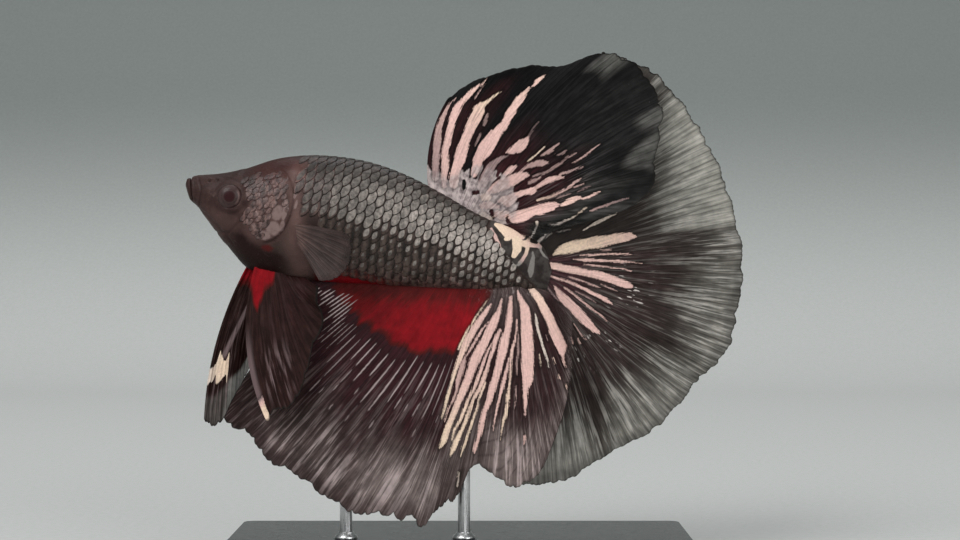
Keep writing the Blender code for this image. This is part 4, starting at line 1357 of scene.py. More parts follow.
@dataclass
class HeadPlan:
    """Places of the head's features on the side of the body: distance from the snout, height."""

    mouth_top: Point = (0.5, 0.13)
    mouth_corner: Point = (1.42, -2.36)
    maxilla: tuple[Point, ...] = ((1.55, 0.6), (2.35, -0.7), (2.5, -2.7))
    nostril: Point = (3.05, 0.62)
    nostril_rear: Point = (4.05, 0.95)
    eye: Point = (6.3, -0.72)
    eye_radius: float = 1.5
    eye_depth: float = 1.15
    eye_bulge: float = 0.38
    cheek_line: tuple[Point, ...] = ((7.7, 1.9), (8.75, -0.6), (8.55, -3.2), (7.1, -5.3), (5.2, -5.6))
    jaw_line: tuple[Point, ...] = ((1.6, -2.9), (3.6, -3.6), (5.8, -4.9), (8.0, -6.6))
    gill: Point = (11.3, -0.6)
    gill_reach: Point = (3.05, 4.75)

    def from_eye(self, along: Array, height: Array) -> Array:
        """Distance from the eye's axis."""
        return np.hypot(along - self.eye[0], height - self.eye[1])

    def gill_rim(self, along: Array, height: Array) -> Array:
        """Distance outside the gill cover's rear edge, negative inside."""
        long, tall = self.gill_reach
        far = np.hypot((along - self.gill[0]) / long, (height - self.gill[1]) / tall)
        return (far - 1) * long

    def relief(self, along: Array, height: Array) -> tuple[Array, Array]:
        """Height of the head's forms over the plain body, and the painted shade of its creases, pits and
        slits.

        Args:
            along: Distance from the snout.
            height: Height in the fish's own frame.

        Returns:
            Relief in millimetres and share of painted shade in the creases.
        """
        (ax, ay), (bx, by) = self.mouth_top, self.mouth_corner
        mouth = from_line(along, height, ((ax - 0.05, ay + 0.8), self.mouth_top, self.mouth_corner))
        past = ease(by - 0.25, by + 0.25, height)
        groove = bell(mouth, 0.085) * past
        lips = bell(mouth - 0.3, 0.17) * past * ease(3.0, 2.0, along)
        relief = -0.3 * groove + 0.07 * lips
        fold = bell(from_line(along, height, self.maxilla), 0.13)
        relief -= 0.08 * fold
        jaw = bell(from_line(along, height, self.jaw_line), 0.16)
        relief -= 0.07 * jaw
        pits = 0.0
        for centre, radius in ((self.nostril, 0.2), (self.nostril_rear, 0.16)):
            far = np.hypot(along - centre[0], height - centre[1])
            relief += 0.05 * bell(far - radius - 0.1, 0.09) - 0.16 * bell(far, radius)
            pits = np.maximum(pits, bell(far, radius * 0.8))
        eye = self.from_eye(along, height)
        relief += 0.06 * bell(eye - 1.68, 0.22) - 0.6 * ease(1.47, 1.3, eye)
        socket = ease(1.56, 1.36, eye)
        relief -= 0.05 * bell(eye - 2.25, 0.18)
        cheek = bell(from_line(along, height, self.cheek_line), 0.17)
        relief -= 0.1 * cheek
        rim = self.gill_rim(along, height)
        rear = ease(-0.5, 1.2, along - self.gill[0]) * ease(-6.2, -4.8, height) * ease(4.9, 3.6, height)
        behind = np.where(rim > 0, np.exp(-np.maximum(rim, 0.0) / 0.9) * ease(0.0, 0.12, rim), 0.0)
        relief -= 0.22 * behind * rear
        relief += 0.05 * bell(rim + 0.18, 0.2) * rear
        slit = bell(rim - 0.1, 0.12) * rear
        # painted shade: darker in the mouth groove, upper-jaw fold, jaw line, nostril pits, eye socket,
        # cheek line and gill slit
        dark = groove + 0.3 * fold + 0.2 * jaw + 0.7 * pits + 0.1 * socket + 0.12 * cheek + 0.22 * slit
        return relief, np.clip(dark, 0.0, 1.0)


@dataclass
class Markings:
    """Colour zones of the body; skin and scales both read them."""

    body: BodyShape
    plan: HeadPlan
    # height and distance from the snout of the line where the scales end on the stalk
    scale_end: tuple[Point, ...] = (
        (-2.16, 46.78), (-1.29, 45.0), (0.23, 42.99), (1.91, 40.88), (3.96, 39.04)
    )
    # distance from the snout and height of the red zone's upper edge
    red_top: tuple[Point, ...] = (
        (16.5, -9.0), (18.0, -7.2), (20.0, -6.5), (25.5, -6.75), (30.0, -6.5), (36.0, -5.6),
        (41.5, -4.7), (43.0, -5.2),
    )
    # cream and mauve blotches of the bare tail stalk
    blotches: Bands = Bands((
        Stripe(((39.89, 4.24, 0.26), (40.87, 4.02, 0.64), (41.71, 3.84, 0.96), (42.65, 3.81, 0.84),
                (43.3, 3.84, 0.71), (43.83, 4.38, 0.26)), (0.9, 0.4)),
        Stripe(((42.87, 3.47, 0.58), (43.09, 2.6, 0.64), (43.28, 1.85, 0.58),
                (43.12, 0.89, 0.32)), (0.9, 0.9)),
        Stripe(((41.81, 2.94, 0.39), (41.59, 2.75, 0.26)), (0.9, 0.9)),
        Stripe(((43.58, 2.73, 0.32), (44.36, 2.79, 0.51), (45.14, 2.86, 0.26), (46.17, 2.98, 0.21),
                (46.29, 2.49, 0.14), (46.98, 1.87, 0.13), (47.7, 1.65, 0.08)), (0.7, -0.9), 0.95),
        Stripe(((44.61, 2.32, 0.26), (44.55, 1.51, 0.23), (44.34, 0.8, 0.24), (44.09, 0.21, 0.26),
                (43.92, -0.17, 0.13)), (0.7, -0.6), 0.9),
        Stripe(((44.39, 3.2, 0.26), (44.61, 3.91, 0.15), (44.96, 4.6, 0.13),
                (45.5, 5.07, 0.17)), (0.5, -0.4), 0.85),
        Stripe(((45.85, 3.17, 0.15), (46.21, 3.86, 0.26), (46.61, 4.36, 0.19)), (0.3, -0.5), 0.85),
        Stripe(((45.36, 1.98, 0.1), (45.61, 1.25, 0.26), (45.65, 0.34, 0.36), (45.71, -0.44, 0.41),
                (45.9, -1.19, 0.18)), (-0.8, -0.6), 0.75),
        Stripe(((39.38, 3.64, 0.13), (39.94, 2.99, 0.23), (40.5, 2.34, 0.24), (41.07, 1.69, 0.15),
                (41.44, 1.25, 0.06)), (0.0, 0.2), 0.95),
        Stripe(((42.25, 0.67, 0.06), (43.07, 0.08, 0.09), (43.69, -0.29, 0.06)), (-0.8, -0.8), 0.7),
    ))
    red_patches: tuple[Patch, ...] = (Patch((12.5, -6.0), (0.8, 0.5), 0.7, 0.4),)
    # near-black patches: a spot behind the eye, a band under it, and the painted shadow of the pectoral fin
    # on the flank behind it
    ink_and_shadow_patches: tuple[Patch, ...] = (
        Patch((8.45, -1.05), (0.55, 0.42), 0.6, 0.55),
        Patch((6.6, -2.45), (1.7, 0.42), 0.7, 0.42),
        Patch((19.4, -3.4), (3.4, 3.6), 0.35, 0.3),
    )
    mauve_patches: tuple[Patch, ...] = (
        Patch((5.6, -4.1), (2.4, 1.5), 0.7, 0.3),
        Patch((15.5, 3.4), (3.6, 3.8), 0.5, 0.3),
        Patch((11.4, -1.1), (3.0, 4.6), 0.35, 0.36),
    )
    # smooth plates in front of the eye and on the rear of the gill cover
    plates: tuple[Patch, ...] = (
        Patch((4.35, -0.95), (0.9, 0.55), 0.6, 0.25),
        Patch((12.75, -1.3), (0.7, 1.00), 0.3),
        Patch((13.65, -0.8), (0.34, 1.3), 0.3),
        Patch((12.75, -3.25), (1.00, 0.95), 0.3),
        Patch((13.75, -2.7), (0.34, 0.8), 0.3),
        Patch((11.6, -4.45), (1.15, 0.55), 0.3),
        Patch((14.35, 1.7), (0.22, 0.7), 0.3),
        Patch((14.75, 0.4), (0.2, 0.6), 0.3),
    )

    def wander(self, along: Array, height: Array) -> Array:
        """Uneven field that frays the zones' edges."""
        return cloud(along * 0.9, height * 0.9, 3) - 0.5

    def sheen(self, along: Array, height: Array) -> Array:
        """Lilac gleam of the smooth plates."""
        return with_patches(0.0, along, height, self.plates)

    def past_scales(self, along: Array, height: Array) -> Array:
        """Distance behind the line where the scales end, negative in front of it."""
        return along - along_line(height, self.scale_end)

    def masks(self, along: Array, height: Array) -> dict[str, Array]:
        """Share of each pigment.

        Args:
            along: Distance from the snout.
            height: Height in the fish's own frame.

        Returns:
            One array for each name in BODY_MASKS.
        """
        wander = self.wander(along, height)
        over_belly = height - self.body.row(along)[1]
        rim = self.plan.gill_rim(along, height)
        behind = ease(0.0, 0.9, rim) * ease(10.5, 12.5, along)
        top = along_line(along, self.red_top)
        low_flank = ease(top + 2.3, top + 0.5, height + 0.5 * wander) * ease(19.5, 23.0, along)
        red = self.red(along, height, top, over_belly)

        throat = ease(-0.5, 0.7, -4.75 - 0.27 * (along - 8.2) - height + 0.6 * wander)
        throat = throat * ease(6.3, 9.0, along) * ease(16.2, 13.8, along)
        # near-black of the throat, back ridge and crown, with the patches, one of them painted shadow behind
        # the pectoral fin
        ink = with_patches(0.95 * throat, along, height, self.ink_and_shadow_patches)
        ridge = ease(0.07, 0.02, self.body.depth(along, height)) * ease(11.0, 14.0, along)
        crown = ease(0.5, 4.2, height + 0.18 * (9.0 - along)) * ease(14.0, 12.0, along)
        ink = np.maximum(ink, np.maximum(0.7 * ridge, 0.5 * crown))

        shoulder = from_line(
            along, height, ((13.5, 4.2), (14.5, 1.2), (15.6, -2.2), (16.5, -5.2), (17.4, -8.0))
        )
        shoulder = bell(shoulder, 1.0 + 0.6 * ease(-1.0, -5.0, height))
        mauve = blend(ease(-3.0, -8.0, height), 0.88, 0.66) * shoulder
        mauve = with_patches(mauve, along, height, self.mauve_patches)
        mauve = np.maximum(mauve, (0.5 + 0.25 * ease(26.0, 38.0, along)) * low_flank)
        rust = 0.9 * oval(along, height, (11.2, 4.5), (3.8, 2.1), 0.5)
        stone = ease(-0.15, 0.25, self.past_scales(along, height))
        ink = ink * (1 - red)
        return {"red": red, "ink": ink, "mauve": mauve, "rust": rust, "flank": behind, "stone": stone}

    def red(self, along: Array, height: Array, top: Array, over_belly: Array) -> Array:
        """Red of the belly, strongest on its keel in front, where the stronger red is painted light over the
        shade under the belly.

        Args:
            along: Distance from the snout.
            height: Height in the fish's own frame.
            top: Height of the red zone's upper edge.
            over_belly: Height over the belly's edge.

        Returns:
            Share of red.
        """
        zone = ease(top + 1.25, top - 0.45, height + 0.6 * self.wander(along, height))
        zone = zone * ease(18.3, 20.5, along) * ease(44.5, 41.5, along)
        # painted light: the belly's red is made stronger on the keel, to lift the shade where the belly
        # turns under
        keel_painted_light = ease(1.3, 0.2, over_belly) * ease(31.0, 23.0, along)
        red = (blend(ease(23.0, 31.0, along), 0.5, 0.26) + 0.45 * keel_painted_light) * zone
        return with_patches(red, along, height, self.red_patches)

    def silver(self, along: Array, height: Array) -> tuple[Array, Array]:
        """How much of each scale gleams, and how brightly.

        Args:
            along: Distance from the snout.
            height: Height in the fish's own frame.

        Returns:
            Share that gleams, and its brightness.
        """
        depth = self.body.depth(along, height)
        over_belly = height - self.body.row(along)[1]
        shut = np.interp(along, (22.0, 34.0, 40.0, 43.0), (0.74, 0.75, 0.78, 0.8))
        upper = ease(shut, shut - 0.36, depth + 0.16 * self.wander(along, height))
        upper = upper * blend(ease(14.0, 19.0, along), 0.8, 1.0)
        lower = blend(ease(33.0, 39.0, along), 0.34, 0.6) * ease(19.0, 24.0, along)
        lower = lower * ease(0.2, 0.9, over_belly)
        gleam = np.interp(along, (12.0, 16.0, 20.0, 26.0, 36.0, 42.0), (0.34, 0.42, 0.62, 0.9, 1.28, 1.52))
        gleam = gleam * blend(ease(0.03, 0.27, depth), 0.2, 1.0) * blend(ease(0.55, 0.8, depth), 1.0, 0.7)
        # painted shadow of the pectoral fin: few scales gleam in it
        pectoral_shadow = oval(along, height, (19.0, -3.2), (3.6, 3.6), 0.3)
        return np.maximum(upper, lower) * (1 - 0.85 * pectoral_shadow), gleam


@dataclass
class Skin:
    """One skin over head, jaws, gill covers, trunk and tail stalk."""

    body: BodyShape
    plan: HeadPlan
    markings: Markings
    turns: int = 230
    snout_rings: int = 70
    head_rings: int = 120
    trunk_rings: int = 130
    snout_end: float = 3.0
    head_end: float = 15.5
    bare_depth: float = 0.02
    coat_depth: float = 0.15

    def covered(self, along: Array, height: Array) -> Array:
        """Where scales lie over the skin.

        Args:
            along: Distance from the snout.
            height: Height in the fish's own frame.

        Returns:
            1 under the scales, 0 on bare skin.
        """
        round_eye = ease(1.9, 2.4, self.plan.from_eye(along, height))
        cheek = ease(6.3, 7.2, along) * round_eye * ease(15.0, 13.0, along)
        trunk = ease(12.0, 14.0, along) * ease(0.6, -0.4, self.markings.past_scales(along, height))
        return np.maximum(cheek, trunk)

    def build(self, paint: PaintGroup) -> bpy.types.Object:
        """Makes and dresses the skin.

        Args:
            paint: Ground colour of the body.

        Returns:
            The piece.
        """
        rings = np.concatenate(
            (
                self.snout_end * np.linspace(0.0, 1.0, self.snout_rings, endpoint=False) ** 1.5,
                np.linspace(self.snout_end, self.head_end, self.head_rings, endpoint=False),
                np.linspace(self.head_end, self.body.length, self.trunk_rings),
            )
        )
        around = np.linspace(0.0, 2 * math.pi, self.turns + 1)
        along, full = np.meshgrid(rings, around, indexing="ij")
        side = np.where(full <= math.pi, 1.0, -1.0)
        turn = np.where(full <= math.pi, full, 2 * math.pi - full)
        height = self.body.section(along, turn)[..., 2]
        relief, crease = self.plan.relief(along, height)
        inset = blend(self.covered(along, height), self.bare_depth, self.coat_depth)
        ends = ease(0.0, 0.5, along) * ease(self.body.length, self.body.length - 0.6, along)
        points = self.body.lifted(along, turn, relief * ends - inset, side)
        masks = self.markings.masks(along, height)
        masks |= {"crease": crease, "sheen": self.markings.sheen(along, height)}
        masks |= self.markings.blotches.masks(along, height)
        return self.close(points, masks, along, full, paint)

    def close(
        self, points: Array, masks: dict, along: Array, full: Array, paint: PaintGroup
    ) -> bpy.types.Object:
        """Closes the grid into a tube with two end caps and gives it its finish.

        Args:
            points: Grid of points in the fish's own frame.
            masks: Values over the grid that the finish reads.
            along: Distance from the snout of each point.
            full: Turn of each point, all the way round.
            paint: Ground colour of the body.

        Returns:
            The piece.
        """
        rows, columns = along.shape
        joined, snout_cap, tail_cap = tube_faces(rows, columns)
        caps = (snout_cap, tail_cap[:, ::-1])
        faces = np.concatenate((joined, *caps))
        uv_faces = np.concatenate((grid_faces(rows, columns), *caps))
        unwrap = np.stack((along / UNWRAP_LENGTH, full / (2 * math.pi)), -1).reshape(-1, 2)
        world = self.body.pose.world(points.reshape(-1, 3))
        skin = make_piece("body_skin", world, faces, unwrap, masks, uv_faces)
        skin.data.materials.append(SkinFinish("bare_skin", 0.5, coat=0.025, specular=0.085).make(paint))
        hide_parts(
            "head", "jaw_upper", "jaw_lower", "trunk", "tail_stalk",
            "gill_cover_left", "gill_cover_right",
        )
        return skin


@dataclass(frozen=True)
class Vane:
    """Points of one scale: its top row by row, then the foot of the wall round its rim.

    Args:
        p: Place across the vane from front to rear, -1 to 1.
        q: Place across it from top to bottom, -1 to 1.
        a: Place along the body, in spacings of the scales.
        b: Place down the flank, in spacings of the rows.
        lift: Height over the skin.
        faces: Its faces.
    """

    p: Array
    q: Array
    a: Array
    b: Array
    lift: Array
    faces: Array


@dataclass
class Coat:
    """Overlapping scales on one side of the fish, as one joined mesh of vanes.

    Args:
        body: Shape of the body.
        plan: Places of the head's features.
        markings: Colour zones of the body.
        side: Flank that the coat covers.
        cells: Points across a vane.
        front: Front end of a vane, in spacings from its root.
        rear: Rear end, likewise.
        tilt: How far the rear corner lifts off the skin.
        crown: How far the middle bulges.
        sink: How deep the wall reaches below.
        lean: How far the rows lean back.
        corner: How round the corners are.
        slant: Millimetres back for each one down.
        tall_pitch: Spacing at which a vane has its full lift.
        skin_depth: How deep the skin lies under the plain body surface.
        unlike: Spread of brightness among the scales.
    """

    body: BodyShape
    plan: HeadPlan
    markings: Markings
    side: Side
    cells: int = 9
    front: float = -0.64
    rear: float = 0.57
    tilt: float = 0.12
    crown: float = 0.035
    sink: float = 0.06
    lean: float = 0.69
    corner: float = 0.46
    slant: float = 0.12
    tall_pitch: float = 1.15
    skin_depth: float = 0.15
    unlike: float = 0.12

    def roots(self) -> tuple[Array, Array, Array, Array, Array]:
        """Centres along the body and down the flank, the two spacings and the lean of each scale."""
        raise NotImplementedError

    def vane(self) -> Vane:
        """Shapes one scale.

        Returns:
            The vane.
        """
        n = self.cells
        ticks = np.linspace(-1.0, 1.0, n)
        q, p = np.meshgrid(ticks, ticks, indexing="ij")
        middle, half = (self.rear + self.front) / 2, (self.rear - self.front) / 2
        a = middle + half * (p * np.sqrt(1 - self.corner * q * q))
        b = middle + half * (q * np.sqrt(1 - self.corner * p * p))
        lift = self.tilt * 0.5 * ((a - self.front) + (b - self.front)) / (self.rear - self.front)
        lift = lift + self.crown * (1 - p * p) * (1 - q * q)
        grid = np.arange(n * n).reshape(n, n)
        rim = np.concatenate((grid[0, :-1], grid[:-1, -1], grid[-1, :0:-1], grid[:0:-1, 0], grid[0, :1]))
        wall = strip_faces(rim, n * n + np.arange(len(rim)))
        p, q, a, b = (np.append(values, values.ravel()[rim]) for values in (p, q, a, b))
        lift = np.append(lift, np.full(len(rim), -self.sink))
        return Vane(p, q, a, b, lift, np.concatenate((grid_faces(n, n)[:, ::-1], wall)))

    def vanes(self, name: str) -> bpy.types.Object:
        """Builds every vane of the coat.

        Args:
            name: Name of the piece.

        Returns:
            The piece.
        """
        along, down, pitch, row, lean = self.roots()
        count, vane = len(along), self.vane()
        each = len(vane.a)
        height = self.body.section(along, self.body.turn_at(along, down))[..., 2]
        masks = self.markings.masks(along, height)
        masks = {key: np.repeat(values, each) for key, values in masks.items()}
        rng = np.random.default_rng(11)
        opened, gleam = self.opened(along, height, rng)
        shut = (1 - ease(0.3, 0.75, opened))[:, None]
        masks["tone"] = np.repeat(gleam * rng.normal(1.0, self.unlike, count), each)
        masks |= self.vane_masks(vane, opened, shut)

        across = vane.b[None] - lean[:, None] * vane.a[None]
        place = along[:, None] + pitch[:, None] * vane.a[None] + self.slant * row[:, None] * across
        low = down[:, None] + row[:, None] * across
        rise = np.minimum(pitch, self.tall_pitch) / self.tall_pitch * self.rise(along)
        lift = vane.lift[None] * rise[:, None] * (1 - 0.9 * shut) - self.skin_depth
        turn = self.body.turn_at(place, np.maximum(low, 0.02))
        points = self.body.lifted(place, turn, lift, self.side.value)
        quads = (vane.faces[None] + each * np.arange(count)[:, None, None]).reshape(-1, 4)
        if self.side is Side.LEFT:
            quads = quads[:, ::-1]
        unwrap = self.unwrap(vane, along, down)
        LOG.info("%s: %d scales", name, count)
        return make_piece(name, self.body.pose.world(points.reshape(-1, 3)), quads, unwrap, masks)

    def opened(self, along: Array, height: Array, rng: np.random.Generator) -> tuple[Array, Array]:
        """How far each scale's gleam is open, with random differences.

        Args:
            along: Distance from the snout.
            height: Height in the fish's own frame.
            rng: Source of the differences.

        Returns:
            Share that gleams, and its brightness.
        """
        opened, gleam = self.shine(along, height)
        dotted = rng.random(len(along))
        opened = np.where(opened < 0.5, opened * np.where(dotted < 0.75, 0.4 + 0.9 * dotted, 0.0), opened)
        opened = np.clip(opened + rng.normal(0.0, 0.05, len(along)), 0.0, 1.0)
        return opened, gleam * blend(ease(0.1, 0.6, opened), 0.66, 1.0)

    def vane_masks(self, vane: Vane, opened: Array, shut: Array) -> dict[str, Array]:
        """Gleaming part, dark seam and pale bar of every vane.

        Args:
            vane: Shape of a vane.
            opened: Share of each scale that gleams.
            shut: How shut each scale is.

        Returns:
            Values over the coat by name.
        """
        centre, size = blend(opened, -0.42, 0.04)[:, None], blend(opened, 0.1, 0.85)[:, None]
        far = (np.abs(vane.p[None] - centre) ** 4 + np.abs(vane.q[None] - centre) ** 4) ** 0.25
        outline = ease(0.74, 0.9, np.maximum(vane.p, vane.q))[None]
        seam = np.maximum(outline * (1 - 0.92 * shut), shut * ease(0.25, 0.85, vane.p)[None])
        bar = shut * ease(0.4, 0.05, np.abs(vane.a + 0.1))[None]
        return {"cell": (far / size).ravel(), "seam": seam.ravel(), "bar": bar.ravel()}

    def unwrap(self, vane: Vane, along: Array, down: Array) -> Array:
        """Small patch for each vane, at its root's place on the paint map.

        Args:
            vane: Shape of a vane.
            along: Distance of each root from the snout.
            down: Its distance down the flank.

        Returns:
            Place of each point.
        """
        full = self.body.turn_at(along, down)
        full = full if self.side is Side.RIGHT else 2 * math.pi - full
        root = np.stack((along / UNWRAP_LENGTH, full / (2 * math.pi)), -1)
        patch = 0.003 * np.stack((vane.a, vane.b), -1) / (self.rear - self.front)
        return (root[:, None, :] + patch[None]).reshape(-1, 2)

    def shine(self, along: Array, height: Array) -> tuple[Array, Array]:
        """How much of each scale gleams, and how brightly."""
        return self.markings.silver(along, height)

    def rise(self, along: Array) -> Array:
        """Share of its full lift that each scale has."""
        return np.ones(len(along))


@dataclass
class FlankCoat(Coat):
    """Scales of the trunk and tail stalk, in rows that follow the back."""

    first_row: float = 0.42
    first: float = 11.6
    last: float = 47.6
    pitch_front: float = 1.15
    pitch_rear: float = 0.92
    row_front: float = 1.49
    row_rear: float = 1.22
    # height and distance from the snout of the line where the scales start
    start_line: tuple[Point, ...] = (
        (-9.0, 19.0), (-6.2, 19.6), (-1.6, 18.6), (0.4, 15.6), (1.1, 15.0), (5.5, 14.2), (8.5, 13.6)
    )

    def roots(self) -> tuple[Array, Array, Array, Array, Array]:
        """Centres, spacings and lean of the scales of this flank."""
        columns = [self.first]
        while columns[-1] < self.last + 1:
            columns.append(columns[-1] + float(self.pitch_at(np.array(columns[-1]))))
        found = []
        for start in columns:
            down = self.first_row
            while True:
                place = start + self.slant * down
                if place > self.last:
                    break
                girth = np.interp(place, self.body.places, self.body.girth)
                step = float(blend(ease(22.0, 45.0, np.array(place)), self.row_front, self.row_rear))
                if down > girth - 0.1:
                    break
                found.append((place, down, step))
                down += step
        along, down, row = np.array(found).T
        height = self.body.section(along, self.body.turn_at(along, down))[..., 2]
        masks = self.markings.masks(along, height)
        ragged = 1.6 * (np.random.default_rng(17).random(len(along)) - 0.5)
        keep = (along + ragged > along_line(height, self.start_line)) & (masks["red"] < 0.46)
        keep &= self.markings.past_scales(along, height) < -0.25
        along, down, row, height = along[keep], down[keep], row[keep], height[keep]
        lean = self.lean * ease(1.02, 0.75, self.body.depth(along, height))
        return along, down, self.pitch_at(along), row, lean

    def rise(self, along: Array) -> Array:
        """The first scales behind the gill cover lie flat."""
        return blend(ease(13.5, 18.5, along), 0.35, 1.0)

    def pitch_at(self, along: Array) -> Array:
        """Spacing of the scales along a row."""
        return blend(ease(22.0, 45.0, along), self.pitch_front, self.pitch_rear)

    def build(self, paint: PaintGroup) -> bpy.types.Object:
        """Makes and dresses the flank's scales."""
        piece = self.vanes(f"scales_flank_{self.side.name.lower()}")
        piece.data.materials.append(ScaleFinish("flank_scales", 0.42, coat=0.03, specular=0.2).make(paint))
        return piece


@dataclass
class CheekCoat(Coat):
    """Small uneven scales of the cheek, gill cover and nape."""

    pitch: float = 0.74
    row: float = 0.82
    tilt: float = 0.065
    lean: float = 0.2
    corner: float = 0.6
    crown: float = 0.02
    skin_depth: float = 0.14
    # height and distance from the snout of the front edge of the scaled part
    front_edge: tuple[Point, ...] = (
        (-5.5, 12.3), (-4.83, 9.9), (-3.15, 8.5), (-1.6, 8.7), (-0.6, 8.9), (0.0, 8.2), (1.0, 7.6),
        (2.1, 7.1), (3.7, 9.2),
    )

    def roots(self) -> tuple[Array, Array, Array, Array, Array]:
        """Centres, spacings and lean of the scales of this side of the head."""
        rng = np.random.default_rng(5)
        along, down = np.meshgrid(np.arange(6.8, 15.0, self.pitch), np.arange(0.5, 16.0, self.row))
        along = along + 0.37 * (np.arange(along.shape[0]) % 2)[:, None] + rng.normal(0, 0.1, along.shape)
        down = down + rng.normal(0, 0.1, down.shape)
        size = rng.uniform(0.8, 1.2, down.shape)
        along, down, size = along.ravel(), down.ravel(), size.ravel()
        height = self.body.section(along, self.body.turn_at(along, down))[..., 2]
        rim = self.plan.gill_rim(along, height)
        on_cover = ((rim < -0.3) | (along < 11.0)) & (along > along_line(height, self.front_edge))
        plate = from_line(along, height, ((12.9, -0.4), (13.3, -2.2), (12.6, -4.2)))
        clear = (height < 2.5 + 0.25 * (along - 7.1)) & (height > -5.1)
        keep = on_cover & clear & (plate > 0.8) & (self.plan.from_eye(along, height) > 2.35)
        along, down, size = along[keep], down[keep], size[keep]
        return along, down, self.pitch * size, self.row * size, np.full(len(along), self.lean)

    def shine(self, along: Array, height: Array) -> tuple[Array, Array]:
        """Most of each scale gleams, less towards the throat."""
        bright = np.interp(height, (-5.5, -3.0, -0.5, 0.8, 2.0, 3.5), (1.00, 1.05, 1.0, 0.7, 0.4, 0.24))
        return 0.75 + 0 * along, bright * blend(ease(8.0, 10.0, along), 0.85, 1.0)

    def build(self, paint: PaintGroup) -> bpy.types.Object:
        """Makes and dresses the head's scales.

        Args:
            paint: Ground colour of the body.

        Returns:
            The piece.
        """
        piece = self.vanes(f"scales_head_{self.side.name.lower()}")
        finish = ScaleFinish(
            "head_scales",
            0.44,
            coat=0.03,
            specular=0.24,
            silver=(0.19, 0.134, 0.126),
            border=0.25,
            flecked=True,
        )
        piece.data.materials.append(finish.make(paint))
        return piece


@dataclass
class Eye:
    """Eyeball set in its socket."""

    body: BodyShape
    plan: HeadPlan
    side: Side
    around: int = 72
    rings: int = 40
    drop: float = 0.5

    def build(self) -> bpy.types.Object:
        """Makes and dresses the eyeball.

        Returns:
            The piece.
        """
        plan = self.plan
        turns = np.linspace(0.0, 2 * math.pi, self.around + 1)
        spin, tip = np.meshgrid(turns, np.linspace(0.02, math.pi - 0.02, self.rings))
        ring = np.sin(tip)
        x, y = plan.eye_radius * ring * np.cos(spin), plan.eye_radius * ring * np.sin(spin)
        dome = self.body.side_width(*plan.eye) + plan.eye_bulge - self.drop * ring**3
        out = np.where(tip < math.pi / 2, dome, dome.min() + plan.eye_depth * np.cos(tip))
        points = np.stack((plan.eye[0] + x, self.side.value * out, plan.eye[1] + y), -1)
        ball, front_cap, rear_cap = tube_faces(*spin.shape)
        faces = np.concatenate((ball, front_cap[:, ::-1], rear_cap))
        if self.side is Side.LEFT:
            faces = faces[:, ::-1]
        unwrap = np.stack((0.5 + 0.3 * x, 0.5 + 0.3 * y), -1).reshape(-1, 2)
        masks = {"ring": np.hypot(x, y), "rear": ease(0.55, 0.95, np.cos(spin - 0.1))}
        name = f"eyeball_{self.side.name.lower()}"
        eye = make_piece(name, self.body.pose.world(points.reshape(-1, 3)), faces, unwrap, masks)
        finish = EyeFinish("eye_gloss", 0.42, coat=0.07, coat_roughness=0.15, specular=0.16)
        eye.data.materials.append(finish.make())
        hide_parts(f"eye_{self.side.name.lower()}")
        return eye


# ---------------------------------------------------------------- fins


